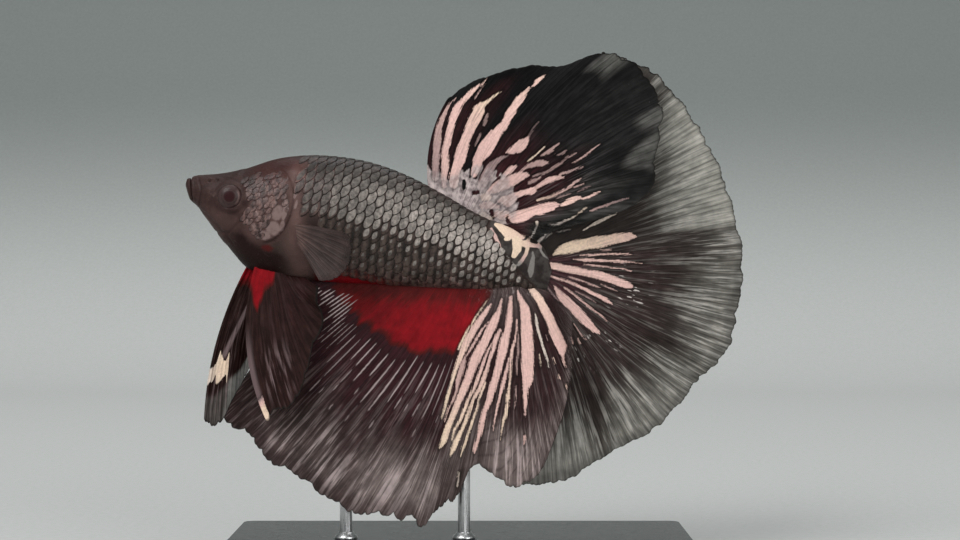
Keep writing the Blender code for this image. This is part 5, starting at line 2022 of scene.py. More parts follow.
@dataclass
class Fin:
    """Fan of branching rays with a thin membrane, folded and ragged at its edge.

    A place on the fin is its share across the fan, 0 at the first ray and 1 at the last, and its
    reach along the rays, 0 at the root and 1 at the tips.

    Args:
        body: Shape of the body.
        bands: Pale bands that cross the fin.
        columns: Points across the fan.
        rows: Points from root to tip.
        primary: Main rays.
        splits: Reach at which the rays branch, once for each entry.
        root_thickness: Thickness at the root.
        tip_thickness: Thickness at the edge.
        ridge: Height of the rays over the membrane.
        ray_width: Half width of a ray at its root.
        notch: Depth of the scallops, as a share of the rays.
        rough: Unevenness of the edge, likewise.
        tuck: How far the root reaches into the body.
        seed: Picks the random fields.
        name: Name of the piece.
        node: Node that it stands for.
        slot: Its paint slot; not used.
        rays: Root along, root height, lean at root, lean at tip and length of each ray.
        closing: Rays past the last one, which close the fan against the stalk.
    """

    body: BodyShape
    bands: Bands = FIN_BANDS
    columns: int = 200
    rows: int = 70
    primary: int = 12
    splits: tuple[float, ...] = (0.14, 0.4, 0.7)
    root_thickness: float = 0.34
    tip_thickness: float = 0.1
    ridge: float = 0.045
    ray_width: float = 0.12
    notch: float = 0.02
    rough: float = 0.02
    tuck: float = 0.8
    seed: int = 1
    name: str = ""
    node: str = ""
    slot: str = ""
    rays: tuple = ()
    closing: tuple = ()
    zones: ClassVar[tuple[str, ...]] = ("clear", "wine", "streak", "red", "base")

    def offset(self, share: Array, reach: Array, root: Array, along: Array) -> Array:
        """Sideways place of the fin's middle sheet.

        Args:
            share: Place across the fan.
            reach: Place along the rays.
            root: Distance from the snout of the ray's root.
            along: Distance from the snout of the place itself.

        Returns:
            Millimetres to the fish's right.
        """
        raise NotImplementedError

    def paint_masks(self, share: Array, reach: Array) -> dict[str, Array]:
        """Colour zones of the fin.

        Args:
            share: Place across the fan.
            reach: Place along the rays.

        Returns:
            Values by name; a zone left out is 0.
        """
        raise NotImplementedError

    def finish(self) -> FinFinish:
        """Finish of the fin."""
        raise NotImplementedError

    def drift(self, share: Array, reach: Array) -> Array:
        """Which ray passes here, as its share of the fin's root."""
        return share

    def wander(self, share: Array, reach: Array, blobs: Point, pick: int) -> Array:
        """Uneven field from -0.5 to 0.5 that frays the zones.

        Args:
            share: Place across the fan.
            reach: Place along the rays.
            blobs: Blobs across the fan and along the rays.
            pick: Picks the field.

        Returns:
            The field.
        """
        return cloud(share * blobs[0], reach * blobs[1], self.seed + pick) - 0.5

    def streak_place(self, middle: Array, share: Array, reach: Array) -> tuple[Array, Array]:
        """Coordinates across and along the streaks, in ray tips and millimetres."""
        return self.drift(share, reach) * self.lines(), reach * self.row(share)[4]

    def row(self, share: Array) -> tuple[Array, ...]:
        """Root along, root height, lean at the root and the tip, and length of the ray here."""
        table = np.array(self.rays + self.closing, float)
        places = np.arange(len(table)) / (len(self.rays) - 1)
        return tuple(smooth(places, table[:, i], share) for i in range(5))

    def sheet(self, share: Array, reach: Array) -> Array:
        """Points of the fin's middle sheet, from the same rays as its solid.

        Args:
            share: Place across the fan.
            reach: Place along the rays.

        Returns:
            Points in the fish's own frame.
        """
        along, height, lean, end, length = self.row(share)
        bend = np.radians(end - lean) * reach
        chord = length * reach * np.sinc(bend / 2 / math.pi)
        angle = np.radians(lean) + bend / 2
        x, z = along + chord * np.cos(angle), height + chord * np.sin(angle)
        return np.stack((x, self.offset(share, reach, along, x), z), -1)

    def branches(self, share: Array, reach: Array) -> Array:
        """Distance to the nearest ray branch, in widths of a main ray's field.

        Args:
            share: Place across the fan.
            reach: Place along the rays.

        Returns:
            Distances.
        """
        far = np.abs((self.drift(share, reach) * self.primary) % 1.0 - 0.5)
        spread = 0.25
        for start in self.splits:
            far = np.abs(far - spread * ease(start, start + 0.16, reach))
            spread /= 2
        return far

    def lines(self) -> float:
        """Number of ray tips at the margin."""
        return self.primary * 2 ** len(self.splits)

    def margin(self, share: Array) -> Array:
        """Reach of the fin's edge, uneven and scalloped between the ray tips.

        Args:
            share: Place across the fan.

        Returns:
            Reach where the fin ends.
        """
        fine = np.abs((share * self.lines()) % 1.0 - 0.5) * 2
        broad = np.abs((share * self.primary) % 1.0 - 0.5) * 2
        torn = cloud(share * self.primary * 1.3, 0.5 + 0 * share, self.seed) - 0.5
        nicks = cloud(share * self.lines() * 0.8, 0.2 + 0 * share, self.seed + 1) - 0.5
        uneven = self.notch * (0.4 - broad**3) * (0.5 + torn) - 0.25 * self.notch * fine**2
        return 1.004 + uneven + self.rough * (0.9 * torn + 0.8 * nicks)

    def pale(self, middle: Array, share: Array, reach: Array) -> dict[str, Array]:
        """Pale bands over the fin."""
        return self.bands.masks(middle[..., 0], middle[..., 2])

    def build(self, paint: PaintGroup) -> bpy.types.Object:
        """Makes and dresses the fin.

        Args:
            paint: Layers of colour shared by the fins.

        Returns:
            The piece.
        """
        last = (len(self.rays) + len(self.closing) - 1) / (len(self.rays) - 1)
        share, climb = np.meshgrid(np.linspace(0.0, last, self.columns), np.linspace(0.0, 1.0, self.rows))
        top = self.margin(share[0])[None, :]
        length = self.row(share[0])[4][None, :]
        foot = -self.tuck / length
        reach = foot + (top - foot) * climb
        middle = self.sheet(share, reach)
        breadth = np.linalg.norm(np.gradient(middle, axis=1), axis=-1).sum(1)[:, None]
        far = self.branches(share, np.maximum(reach, 0.0)) * breadth / self.primary
        ray = bell(far, self.ray_width * (1.15 - 0.45 * climb))
        rim = (top - reach) * length
        across, drawn = self.streak_place(middle, share, reach)
        masks = {"ray": ray, "along": drawn, "across": across, **dict.fromkeys(self.zones, 0.0)}
        masks |= self.pale(middle, share, reach)
        masks |= self.paint_masks(share, reach)
        margin = 0.85 * ease(0.34, 0.08, rim) * (1 - masks.get("fade", 0.0))
        masks["edge"] = np.maximum(masks.get("edge", 0.0), margin)
        half = 0.5 * blend(climb**0.7, self.root_thickness, self.tip_thickness)
        half = self.swell(half + self.ridge * ray * ease(0.0, 0.5, rim) + 0.02, share, reach)
        points, faces, uv_faces = self.shell(middle, half[..., None])
        place = np.stack((0.01 + 0.47 * share / last, 0.02 + 0.95 * climb), -1).reshape(-1, 2)
        unwrap = np.concatenate((place, place + (0.5, 0.0)))
        both = {
            key: np.tile(np.broadcast_to(values, share.shape).ravel(), 2) for key, values in masks.items()
        }
        piece = make_piece(self.name, self.body.pose.world(points), faces, unwrap, both, uv_faces)
        piece.data.materials.append(self.finish().make(paint))
        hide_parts(self.node)
        LOG.info("%s: %d rays at the edge", self.name, self.lines())
        return piece

    def shell(self, middle: Array, half: Array) -> tuple[Array, Array, Array]:
        """Closed shell round the middle sheet.

        Args:
            middle: Grid of points.
            half: Half thickness at each.

        Returns:
            Points, faces, and the faces' places on the paint map.
        """
        normal = sheet_normals(middle)
        near, away = middle - normal * half, middle + normal * half
        points = np.concatenate((near.reshape(-1, 3), away.reshape(-1, 3)))
        count = self.rows * self.columns
        number = np.arange(count).reshape(self.rows, self.columns)
        sides = (number[-1], number[0][::-1], number[:, 0], number[::-1, -1])
        front = grid_faces(self.rows, self.columns)
        back = grid_faces(self.rows, self.columns, count)[:, ::-1]
        joins = np.concatenate([strip_faces(line, line + count)[:, ::-1] for line in sides])
        faces = np.concatenate((front, back, joins))[:, ::-1]
        return points, faces, np.concatenate((front, back, joins % count))[:, ::-1]

    def swell(self, half: Array, share: Array, reach: Array) -> Array:
        """Half thickness with any heavier rays added."""
        return half


@dataclass
class DorsalFin(Fin):
    """Back fin, black with pink bands at its front and a silvery base."""

    columns: int = 480
    rows: int = 100
    primary: int = 12
    splits: tuple[float, ...] = (0.22, 0.5)
    notch: float = 0.02
    rough: float = 0.04
    seed: int = 20
    name: str = "dorsal_membrane"
    node: str = "dorsal_fin"
    slot: str = "dorsal_membrane"
    rays: tuple = (
        (30.1, 7.14, 110, 72, 11.5),
        (31.2, 6.73, 102, 72, 14.2),
        (32.3, 6.49, 98, 66, 16.5),
        (33.6, 6.15, 92, 57, 20.0),
        (34.9, 5.81, 84, 53, 22.0),
        (36.1, 5.48, 76, 52, 26.3),
        (37.3, 5.11, 68, 49, 27.9),
        (38.3, 4.9, 58, 41, 27.1),
        (39.2, 4.75, 48, 43, 25.6),
        (39.8, 4.66, 41, 32, 21.6),
        (40.4, 4.58, 36, 15, 19.6),
        (41.6, 4.45, 18, 4, 6.5),
    )
    closing: tuple = ((42.6, 4.0, -4, -14, 3.6),)
    # distance from the snout, height and half width along the middle of the silvery base
    silver_base: Stripe = Stripe(
        (
            (31.07, 7.65, 0.64), (32.94, 7.59, 1.03), (34.55, 8.54, 1.54), (36.33, 8.86, 2.19),
            (38.3, 8.43, 2.57), (40.08, 7.17, 1.93), (41.03, 6.08, 1.03)
        )
    )
    dark_gaps: Bands = Bands((
        Stripe(((34.52, 8.66, 0.23), (34.74, 7.79, 0.23))),
        Stripe(((35.72, 9.7, 0.26), (35.78, 9.45, 0.26))),
        Stripe(((36.14, 7.52, 0.26), (36.64, 7.65, 0.26))),
        Stripe(((38.84, 5.79, 0.26), (39.28, 5.1, 0.21))),
        Stripe(((41.0, 5.68, 0.28), (41.34, 5.1, 0.34))),
        Stripe(((36.39, 9.14, 0.15), (36.61, 10.39, 0.21), (36.85, 11.51, 0.21), (37.16, 12.39, 0.18))),
        Stripe(((35.17, 9.23, 0.1), (34.98, 10.5, 0.15), (34.92, 11.55, 0.17))),
        Stripe(((32.62, 8.31, 0.1), (32.37, 9.83, 0.15))),
        Stripe(((38.48, 10.34, 0.19), (38.6, 11.43, 0.28), (39.06, 12.21, 0.26))),
        Stripe(((37.92, 8.34, 0.13), (38.33, 9.37, 0.21), (38.79, 10.15, 0.21))),
    ))

    def offset(self, share: Array, reach: Array, root: Array, along: Array) -> Array:
        """Stays on the near side of the tail, most of all where it hangs over the stalk."""
        folds = 0.55 * reach**2 * np.sin(2 * math.pi * 3.5 * share + 0.6)
        hung = np.clip((share - 0.9) / 0.1, 0.0, 1.0) * (1 - (1 - reach) ** 4)
        return self.body.pose.sway(root) - 0.25 * share * reach - 0.7 * hung + folds

    def paint_masks(self, share: Array, reach: Array) -> dict[str, Array]:
        """Silvery base, wine shadows by the bands, smoky streaks at the far corner."""
        blot = self.wander(share, reach, (70.0, 26.0), 4)
        wander = self.wander(share, reach, (16.0, 5.0), 5)
        middle = self.sheet(share, reach)
        depth, _ = self.silver_base.inside(middle[..., 0], middle[..., 2])
        gaps = self.dark_gaps.masks(middle[..., 0], middle[..., 2])["pale"]
        foot = ease(2.6, 1.2, reach * self.row(share)[4] + 1.2 * wander) * ease(0.98, 0.92, share)
        base = np.maximum(ease(-0.4, 0.4, depth + 0.6 * blot), foot) * ease(0.1, -0.1, gaps)
        wine = 0.85 * ease(0.62, 0.22, reach + 0.2 * wander) * ease(0.33, 0.46, share)
        wine = np.maximum(wine, 0.55 * ease(0.33, 0.24, share) * ease(0.95, 0.7, reach + 0.2 * wander))
        far = ease(0.84, 0.98, reach + 0.3 * wander) * ease(0.66, 0.72, share)
        far = far * blend(ease(0.78, 0.84, share), 1.0, 0.4)
        patch = ease(0.8, 0.93, reach + 0.15 * wander) * ease(0.455, 0.485, share) * ease(0.55, 0.52, share)
        far = np.maximum(far, patch)
        lines = ease(0.12, 0.3, reach) * ease(0.95, 0.7, reach) * ease(0.3, 0.5, share)
        low_lines = ease(0.14, 0.28, reach) * ease(0.8, 0.55, reach)
        low_lines = low_lines * ease(0.68, 0.8, share) * ease(1.0, 0.95, share)
        streak = np.maximum(0.3 * far, np.maximum(0.03 * lines, 0.34 * low_lines))
        fade = 0.75 * ease(0.955, 1.0, share) * ease(1.04, 1.0, share) * ease(0.25, 0.5, reach)
        clear = np.maximum(0.9 * far, 0.06 * ease(0.4, 0.6, share) * ease(0.35, 0.6, reach))
        clear = np.maximum(clear, 0.26 * ease(0.74, 0.88, share) * ease(0.85, 0.55, reach + 0.3 * wander))
        return {"base": 0.9 * base, "wine": wine, "streak": streak, "clear": clear, "fade": fade}

    def finish(self) -> FinFinish:
        """Soot-black membrane."""
        return FinFinish(
            "dorsal_membrane",
            specular=0.06,
            membrane=(0.0042, 0.0038, 0.0042),
            outer=(0.12, 0.117, 0.108),
            wine=(0.036, 0.01, 0.012),
            ray=(0.0055, 0.0045, 0.0045),
            streak=(0.16, 0.14, 0.14),
            outer_alpha=0.97,
        )


@dataclass
class CaudalFin(Fin):
    """Half-moon tail: brown-black, with a clearer outer zone and pink and cream bands."""

    columns: int = 640
    rows: int = 100
    primary: int = 16
    notch: float = 0.014
    rough: float = 0.022
    seed: int = 40
    name: str = "caudal_membrane"
    node: str = "caudal_fin"
    slot: str = "caudal_membrane"
    rays: tuple = (
        (43.4, 4.55, 88, 72, 25.2),
        (44.2, 4.42, 82, 66, 25.9),
        (45.1, 4.14, 74, 58, 26.3),
        (45.9, 3.76, 65, 49, 25.9),
        (46.7, 3.3, 55, 42, 25.2),
        (47.4, 2.74, 45, 35, 25.0),
        (47.9, 2.12, 34, 28, 24.5),
        (48.3, 1.46, 23, 20, 25.0),
        (48.6, 0.8, 13, 13, 24.9),
        (48.8, 0.16, 2, 4, 24.8),
        (48.9, -0.46, -8, -7, 24.9),
        (48.9, -1.06, -20, -15, 23.4),
        (48.9, -1.62, -29, -23, 23.1),
        (48.8, -2.12, -40, -37, 23.0),
        (48.6, -2.54, -52, -56, 22.7),
        (48.3, -2.84, -66, -67, 24.1),
        (48.0, -2.98, -76, -75, 24.6),
        (47.6, -3.06, -83, -84, 24.8),
        (47.1, -3.12, -88, -99, 23.6),
    )
    # share across the fin, reach where the smoky outer zone starts, how clear it is
    smoke: tuple = (
        (0.00, 1.15, 0.6), (0.12, 1.00, 0.8), (0.17, 0.82, 1.0), (0.22, 0.7, 1.0), (0.27, 0.68, 1.0),
        (0.31, 0.68, 1.0), (0.362, 0.68, 0.85), (0.372, 0.86, 0.5), (0.45, 0.74, 0.62), (0.53, 0.76, 0.66),
        (0.565, 0.8, 0.66), (0.6, 0.82, 0.66), (0.62, 0.72, 0.72), (0.66, 0.74, 0.74), (0.76, 0.76, 0.76),
        (0.785, 0.92, 0.62), (0.81, 0.74, 0.78), (0.93, 0.74, 0.84), (0.97, 0.66, 0.92), (1.0, 0.62, 1.0),
    )

    def offset(self, share: Array, reach: Array, root: Array, along: Array) -> Array:
        """Carries on the curve of the spine, with folds towards its edge."""
        folds = 0.65 * reach**2 * np.sin(2 * math.pi * 6.5 * share)
        return self.body.pose.sway(np.maximum(root, along)) + 0.5 * reach * share + folds

    def paint_masks(self, share: Array, reach: Array) -> dict[str, Array]:
        """Dark middle, smoky outer zone in lobes, light streaks on the rays there."""
        wander = 0.14 * self.wander(share, reach, (60.0, 3.0), 6)
        places, starts, depths = np.array(self.smoke).T
        start, depth = np.interp(share, places, starts), np.interp(share, places, depths)
        lobes = (0.362, 0.372, 0.79, 0.82, 0.9, 0.95)
        depth = depth * np.interp(share, lobes, (1.0, 0.66, 0.66, 0.84, 0.86, 1.0))
        clear = ease(start - 0.12, start + 0.2, reach + wander) * depth
        streak = ease(start - 0.3, start + 0.15, reach + wander)
        streak = streak * blend(ease(0.36, 0.375, share), 0.5, 0.7)
        streak = np.maximum(streak, 0.16 * ease(0.3, 0.37, share))
        fleck = ease(0.3, 0.38, reach) * ease(0.56, 0.46, reach)
        fleck = fleck * ease(0.35, 0.4, share) * ease(0.84, 0.78, share)
        fleck = fleck * ease(0.45, 0.6, cloud(share * 24.0, reach * 7.0, self.seed + 8))
        root = ease(0.3, 0.04, reach + wander) * ease(0.3, 0.36, share) * ease(0.76, 0.7, share)
        wine = np.maximum(0.9 * root, 0.22 * ease(0.85, 0.35, reach) * ease(0.33, 0.42, share))
        rim = 0.38 * ease(0.935, 0.99, reach + 0.25 * wander) * ease(0.36, 0.38, share)
        return {"clear": clear, "wine": wine, "streak": streak, "fleck": 0.7 * fleck, "edge": rim}

    def finish(self) -> FinFinish:
        """Brown-black membrane with a smoky edge."""
        return FinFinish(
            "caudal_membrane",
            membrane=(0.0235, 0.0175, 0.015),
            outer=(0.38, 0.365, 0.32),
            wine=(0.05, 0.0125, 0.019),
            ray=(0.02, 0.015, 0.014),
            streak=(0.42, 0.4, 0.365),
        )


@dataclass
class AnalFin(Fin):
    """Belly fin: red along the body, wine and smoky brown outside, pale bands behind."""

    columns: int = 640
    rows: int = 100
    primary: int = 42
    splits: tuple[float, ...] = (0.45,)
    ray_width: float = 0.1
    ridge: float = 0.035
    notch: float = 0.016
    rough: float = 0.03
    seed: int = 60
    name: str = "anal_membrane"
    node: str = "anal_fin"
    slot: str = "anal_membrane"
    rays: tuple = (
        (17.8, -9.1, -129, -86, 2.0),
        (20.4, -8.62, -129, -120, 7.9),
        (23.0, -8.1, -129, -120, 15.7),
        (25.4, -7.66, -128, -117, 24.3),
        (27.2, -7.3, -124, -111, 25.1),
        (28.9, -6.96, -120, -105, 27.1),
        (30.7, -6.62, -116, -99, 27.8),
        (32.3, -6.3, -110, -93, 28.9),
        (34.0, -5.96, -103, -90, 29.9),
        (35.5, -5.66, -96, -89, 29.5),
        (36.9, -5.38, -90, -86, 29.6),
        (38.1, -5.12, -86, -85, 30.4),
        (39.2, -4.88, -83, -86, 27.6),
        (40.2, -4.66, -83, -86, 27.1),
        (41.2, -4.42, -84, -85, 26.1),
        (42.2, -4.18, -79, -88, 22.5),
        (43.2, -3.92, -70, -85, 24.1),
        (44.1, -3.7, -62, -85, 24.8),
        (44.8, -3.52, -52, -86, 23.7),
        (45.4, -3.36, -38, -84, 18.6),
        (46.5, -3.12, -12, -72, 9.6),
    )
    closing: tuple = ((47.8, -2.5, 2, -52, 5.0),)
    # distance from the snout and height of the spot the rear streaks spread from
    hub: Point = (43.0, 1.5)
    # share across the fin and reach of the red band's lower edge
    red_edge: tuple[Point, ...] = (
        (0.0, 0.0), (0.08, 0.06), (0.14, 0.13), (0.22, 0.2), (0.3, 0.25), (0.45, 0.28), (0.54, 0.27),
        (0.58, 0.21), (0.63, 0.11), (0.7, 0.04), (1.0, 0.0),
    )

    def offset(self, share: Array, reach: Array, root: Array, along: Array) -> Array:
        """Leans to the near side, so that it passes clear of the tail."""
        rear = np.maximum(0.0, 2 * share - 1)
        folds = 0.55 * reach**2 * np.sin(2 * math.pi * 5.5 * share + 1.0)
        return self.body.pose.sway(root) - 0.65 * rear - (0.25 + 0.75 * rear) * reach + folds

    def drift(self, share: Array, reach: Array) -> Array:
        """Rays run back from the lines of the sheet towards the tail at their roots."""
        places = (0.0, 0.12, 0.35, 0.5, 0.62, 0.72, 0.8, 0.9, 1.0)
        return share + reach * np.interp(share, places, (0.0, 0.05, 0.14, 0.16, 0.22, 0.19, 0.13, 0.07, 0.0))

    def streak_place(self, middle: Array, share: Array, reach: Array) -> tuple[Array, Array]:
        """Behind the red band the streaks run straight from one spot under the stalk."""
        across, drawn = super().streak_place(middle, share, reach)
        x, z = middle[..., 0] - self.hub[0], middle[..., 2] - self.hub[1]
        turned = np.degrees(np.arctan2(x, -z)) * 0.95 + 0.86 * self.lines()
        straight = ease(0.58, 0.7, share)
        return blend(straight, across, turned), blend(straight, drawn, np.hypot(x, z))

    def dashes(self, share: Array, reach: Array, low: Array) -> Array:
        """Thin pale dashes along the rays, from the red band's edge outwards.

        Args:
            share: Place across the fan.
            reach: Place along the rays.
            low: Reach of the red band's edge.

        Returns:
            How strongly a dash shows.
        """
        line = self.drift(share, reach)
        line = (line + 0.6 * np.minimum(line, 0.28)) * self.primary
        chances = np.random.default_rng(self.seed).random((self.primary * 2, 6))
        chance = chances[np.floor(line).astype(int) % 80]
        across = np.abs(line % 1.0 - 0.5)
        front = ease(0.21, 0.17, share)
        start = blend(front, low + 0.015 + 0.05 * chance[..., 0], 0.07 + 0.06 * chance[..., 0])
        length = blend(front, 0.1 + 0.17 * chance[..., 1], 0.13 + 0.06 * chance[..., 1])
        found = 0.0
        dot, faint = 0.04 + 0.06 * chance[..., 2], 0.55 * ease(0.4, 0.6, chance[..., 3])
        for begin, run, wide, power in (
            (start, length, blend(front, 0.085, 0.17), blend(front, 0.4 + 0.3 * chance[..., 5], 0.88)),
            (start + length + 0.02, dot, 0.07, faint),
            (0.5 + 0.14 * chance[..., 4], 0.03, 0.055, 0.5 * ease(0.5, 0.7, chance[..., 5])),
        ):
            part = np.clip((reach - begin) / run, 0.0, 1.0)
            thin = wide * np.sqrt(np.maximum(4 * part * (1 - part), 0.0))
            found = np.maximum(found, power * ease(thin + 0.03, thin - 0.03, across) * (thin > 0))
        return found * ease(0.015, 0.03, share) * ease(0.575, 0.545, share)

    def paint_masks(self, share: Array, reach: Array) -> dict[str, Array]:
        """Red band, darker at its root as painted shade under the belly, pale ray dashes below it, wine
        middle and smoky edge.
        """
        wander = self.wander(share, reach, (60.0, 5.0), 6)
        low = along_line(share, self.red_edge)
        red = ease(low + 0.035, low - 0.035, reach + 0.05 * wander)
        red = red * ease(0.05, 0.09, share) * ease(0.76, 0.66, share)
        # painted shade under the belly: the red is weaker and darker at the fin's root
        red = red * blend(ease(0.13, 0.01, reach + 0.06 * wander), 1.0, 0.6)
        red = red * blend(ease(0.18, 0.48, share), 0.68, 1.0)
        outer = ease(0.55, 0.95, reach + 0.15 * wander) * ease(0.14, 0.34, share) * ease(0.62, 0.57, share)
        outer = outer * blend(ease(0.9, 0.99, reach), 1.0, 0.35)
        rear = ease(0.735, 0.8, share) * ease(0.62, 0.86, reach + 0.1 * wander)
        rear = rear * blend(ease(0.85, 0.96, share), 1.0, 0.3)
        tips = ease(0.57, 0.6, share) * ease(0.755, 0.735, share) * ease(0.74, 0.8, reach)
        clear = np.maximum(blend(ease(0.3, 0.5, share), 0.3, 0.92) * outer, 0.86 * rear) * (1 - tips)
        root_glow = 0.34 * ease(0.6, 0.68, share) * ease(0.3, 0.04, reach + 0.05 * wander)
        clear = np.maximum(clear, root_glow)
        hem = ease(0.54, 0.6, share) * ease(0.8, 0.73, share)
        hem = hem * blend(ease(0.78, 0.86, reach), 0.42, 0.24) * ease(0.5, 0.72, reach + 0.15 * wander)
        clear = np.maximum(clear, hem)
        streak = np.maximum(0.72 * outer, 0.72 * rear) * (1 - tips)
        streak = np.maximum(streak, 0.12 * ease(0.3, 0.6, reach))
        wine = ease(0.8, 0.42, reach + 0.2 * wander) * ease(0.8, 0.6, share)
        wine = (
            np.maximum(wine, 0.55 * ease(0.55, 0.62, share) * ease(0.9, 0.5, reach)) * (1 - 1.6 * root_glow)
        )
        return {
            "clear": clear,
            "wine": wine * (1 - tips),
            "streak": streak,
            "red": red,
            "base": 0.22 * ease(0.09, 0.02, reach + 0.05 * wander) * ease(0.5, 0.64, share),
            "edge": 0.12 * tips,
            "dash": self.dashes(share, reach, low),
            "fade": 0.7 * ease(0.96, 1.0, share) * ease(0.2, 0.5, reach),
        }

    def finish(self) -> FinFinish:
        """Wine-brown membrane."""
        return FinFinish(
            "anal_membrane",
            membrane=(0.027, 0.0145, 0.014),
            outer=(0.236, 0.185, 0.171),
            wine=(0.029, 0.0075, 0.01),
            ray=(0.018, 0.009, 0.01),
            streak=(0.5, 0.405, 0.395),
            outer_alpha=0.84,
        )


@dataclass
class PelvicFin(Fin):
    """Long throat fin with one heavy leading ray and a cream tip."""

    side: Side = Side.LEFT
    columns: int = 130
    rows: int = 120
    primary: int = 6
    splits: tuple[float, ...] = (0.3,)
    root_thickness: float = 0.42
    tip_thickness: float = 0.12
    notch: float = 0.03
    rough: float = 0.05
    tuck: float = 1.1
    seed: int = 80
    spread: float = 1.15
    splay: float = 2.1
    slot: str = "pelvic_membrane"
    left_rays: tuple = (
        (11.3, -9.45, -90, -49, 19.6),
        (12.3, -9.55, -82, -55, 17.3),
        (13.3, -9.55, -76, -55, 16.4),
        (14.3, -9.5, -68, -53, 13.8),
        (15.3, -9.4, -58, -48, 9.6),
        (16.2, -9.3, -36, -25, 6.2),
    )
    left_closing: tuple = ((17.1, -9.12, -32, -24, 3.7), (18.3, -8.6, -16, -10, 1.6))
    right_rays: tuple = (
        (9.9, -9.3, -104, -79, 20.8),
        (10.6, -9.4, -101, -79, 20.8),
        (11.3, -9.5, -98, -77, 18.2),
        (12.0, -9.55, -94, -80, 14.9),
        (12.6, -9.55, -90, -82, 11.3),
    )
    # share across the fan and reach of the red root's edge
    left_red: tuple[Point, ...] = (
        (0.0, 0.07), (0.05, 0.11), (0.12, 0.2), (0.19, 0.27), (0.25, 0.19), (0.31, 0.12), (0.44, 0.065),
        (0.58, 0.02), (0.7, -0.3),
    )
    right_red: tuple[Point, ...] = (
        (0.0, 0.08), (0.4, 0.08), (0.6, 0.13), (0.75, 0.22), (0.9, 0.33), (1.0, 0.42),
    )

    def __post_init__(self) -> None:
        """Picks the rays and names of this side."""
        label = self.side.name.lower()
        self.rays = self.left_rays if self.side is Side.LEFT else self.right_rays
        self.closing = self.left_closing if self.side is Side.LEFT else ()
        self.node = f"pelvic_fin_{label}"
        self.name = f"pelvic_membrane_{label}"

    def offset(self, share: Array, reach: Array, root: Array, along: Array) -> Array:
        """Splays out from the body."""
        folds = 0.25 * reach * np.sin(2 * math.pi * 1.5 * share)
        return self.side.value * (self.spread + self.splay * reach + 0.3 * share) + folds

    def swell(self, half: Array, share: Array, reach: Array) -> Array:
        """Thickens the leading ray."""
        return half + 0.16 * bell(share - 0.04, 0.05) * ease(1.0, 0.7, reach)

    def pale(self, middle: Array, share: Array, reach: Array) -> dict[str, Array]:
        """Cream tip of the leading ray, or cream patch before a smoky tip."""
        if self.side is Side.LEFT:
            inside = np.minimum((0.075 - share) * 9.0, (reach - 0.84) * 19.0)
            tint = blend(ease(0.83, 0.92, reach), -1.0, 1.0)
            return {"pale": inside, "tint": tint, "solid": 0.9}
        low = np.interp(share, (0.0, 0.15, 0.3, 0.4, 0.48), (0.64, 0.58, 0.57, 0.6, 0.68))
        high = np.interp(share, (0.0, 0.2, 0.35, 0.48), (0.74, 0.7, 0.72, 0.8))
        torn = 0.16 * self.wander(share, reach, (22.0, 2.5), 2)
        inside = np.minimum(reach + torn - low, high - reach - 0.6 * torn) * 20.0
        inside = np.minimum(inside, (0.47 - share + torn) * 12.0)
        return {"pale": inside, "tint": blend(ease(0.0, 0.4, share), 1.5, 1.0), "solid": 1.0}

    def paint_masks(self, share: Array, reach: Array) -> dict[str, Array]:
        """Red root, mauve leading ray, smoky tip."""
        wander = self.wander(share, reach, (14.0, 6.0), 5)
        if self.side is Side.LEFT:
            low = along_line(share, self.left_red)
            lead = ease(0.1, 0.04, share) * ease(0.3, 0.62, reach)
            clear = 0.0
        else:
            low = along_line(share, self.right_red)
            centre = blend((reach - 0.33) / 0.22, 0.55, 0.32)
            lead = (
                ease(0.1, 0.03, np.abs(share - centre)) * ease(0.02, 0.12, reach) * ease(0.6, 0.56, reach)
            )
            edge = np.interp(share, (0.0, 0.3, 0.5, 0.7), (0.82, 0.79, 0.76, 0.8))
            clear = ease(-0.01, 0.05, reach - edge)
            clear = clear * blend(ease(0.3, 0.62, share + 0.3 * wander), 0.26, 0.95)
        red = ease(low + 0.06, low - 0.06, reach + 0.06 * wander)
        smoke = 0.6 * oval(share, reach, (0.38, 0.76), (0.2, 0.2), 0.7)
        streak = np.maximum(smoke, 0.035 if self.side is Side.LEFT else 0.12)
        wine = 0.5 * ease(0.9, 0.3, reach) * ease(0.3, 0.9, share)
        lead = (0.55 if self.side is Side.LEFT else 0.74) * lead
        return {"clear": clear, "wine": wine, "streak": streak, "red": 0.9 * red, "dash": lead}

    def finish(self) -> FinFinish:
        """Dark brown blade."""
        return FinFinish(
            self.name,
            specular=0.06,
            membrane=(0.0185, 0.0078, 0.0066),
            outer=(0.26, 0.25, 0.23),
            wine=(0.021, 0.006, 0.0065),
            ray=(0.023, 0.011, 0.01),
            streak=(0.215, 0.15, 0.155),
            inner_alpha=1.0,
            outer_alpha=0.74,
        )


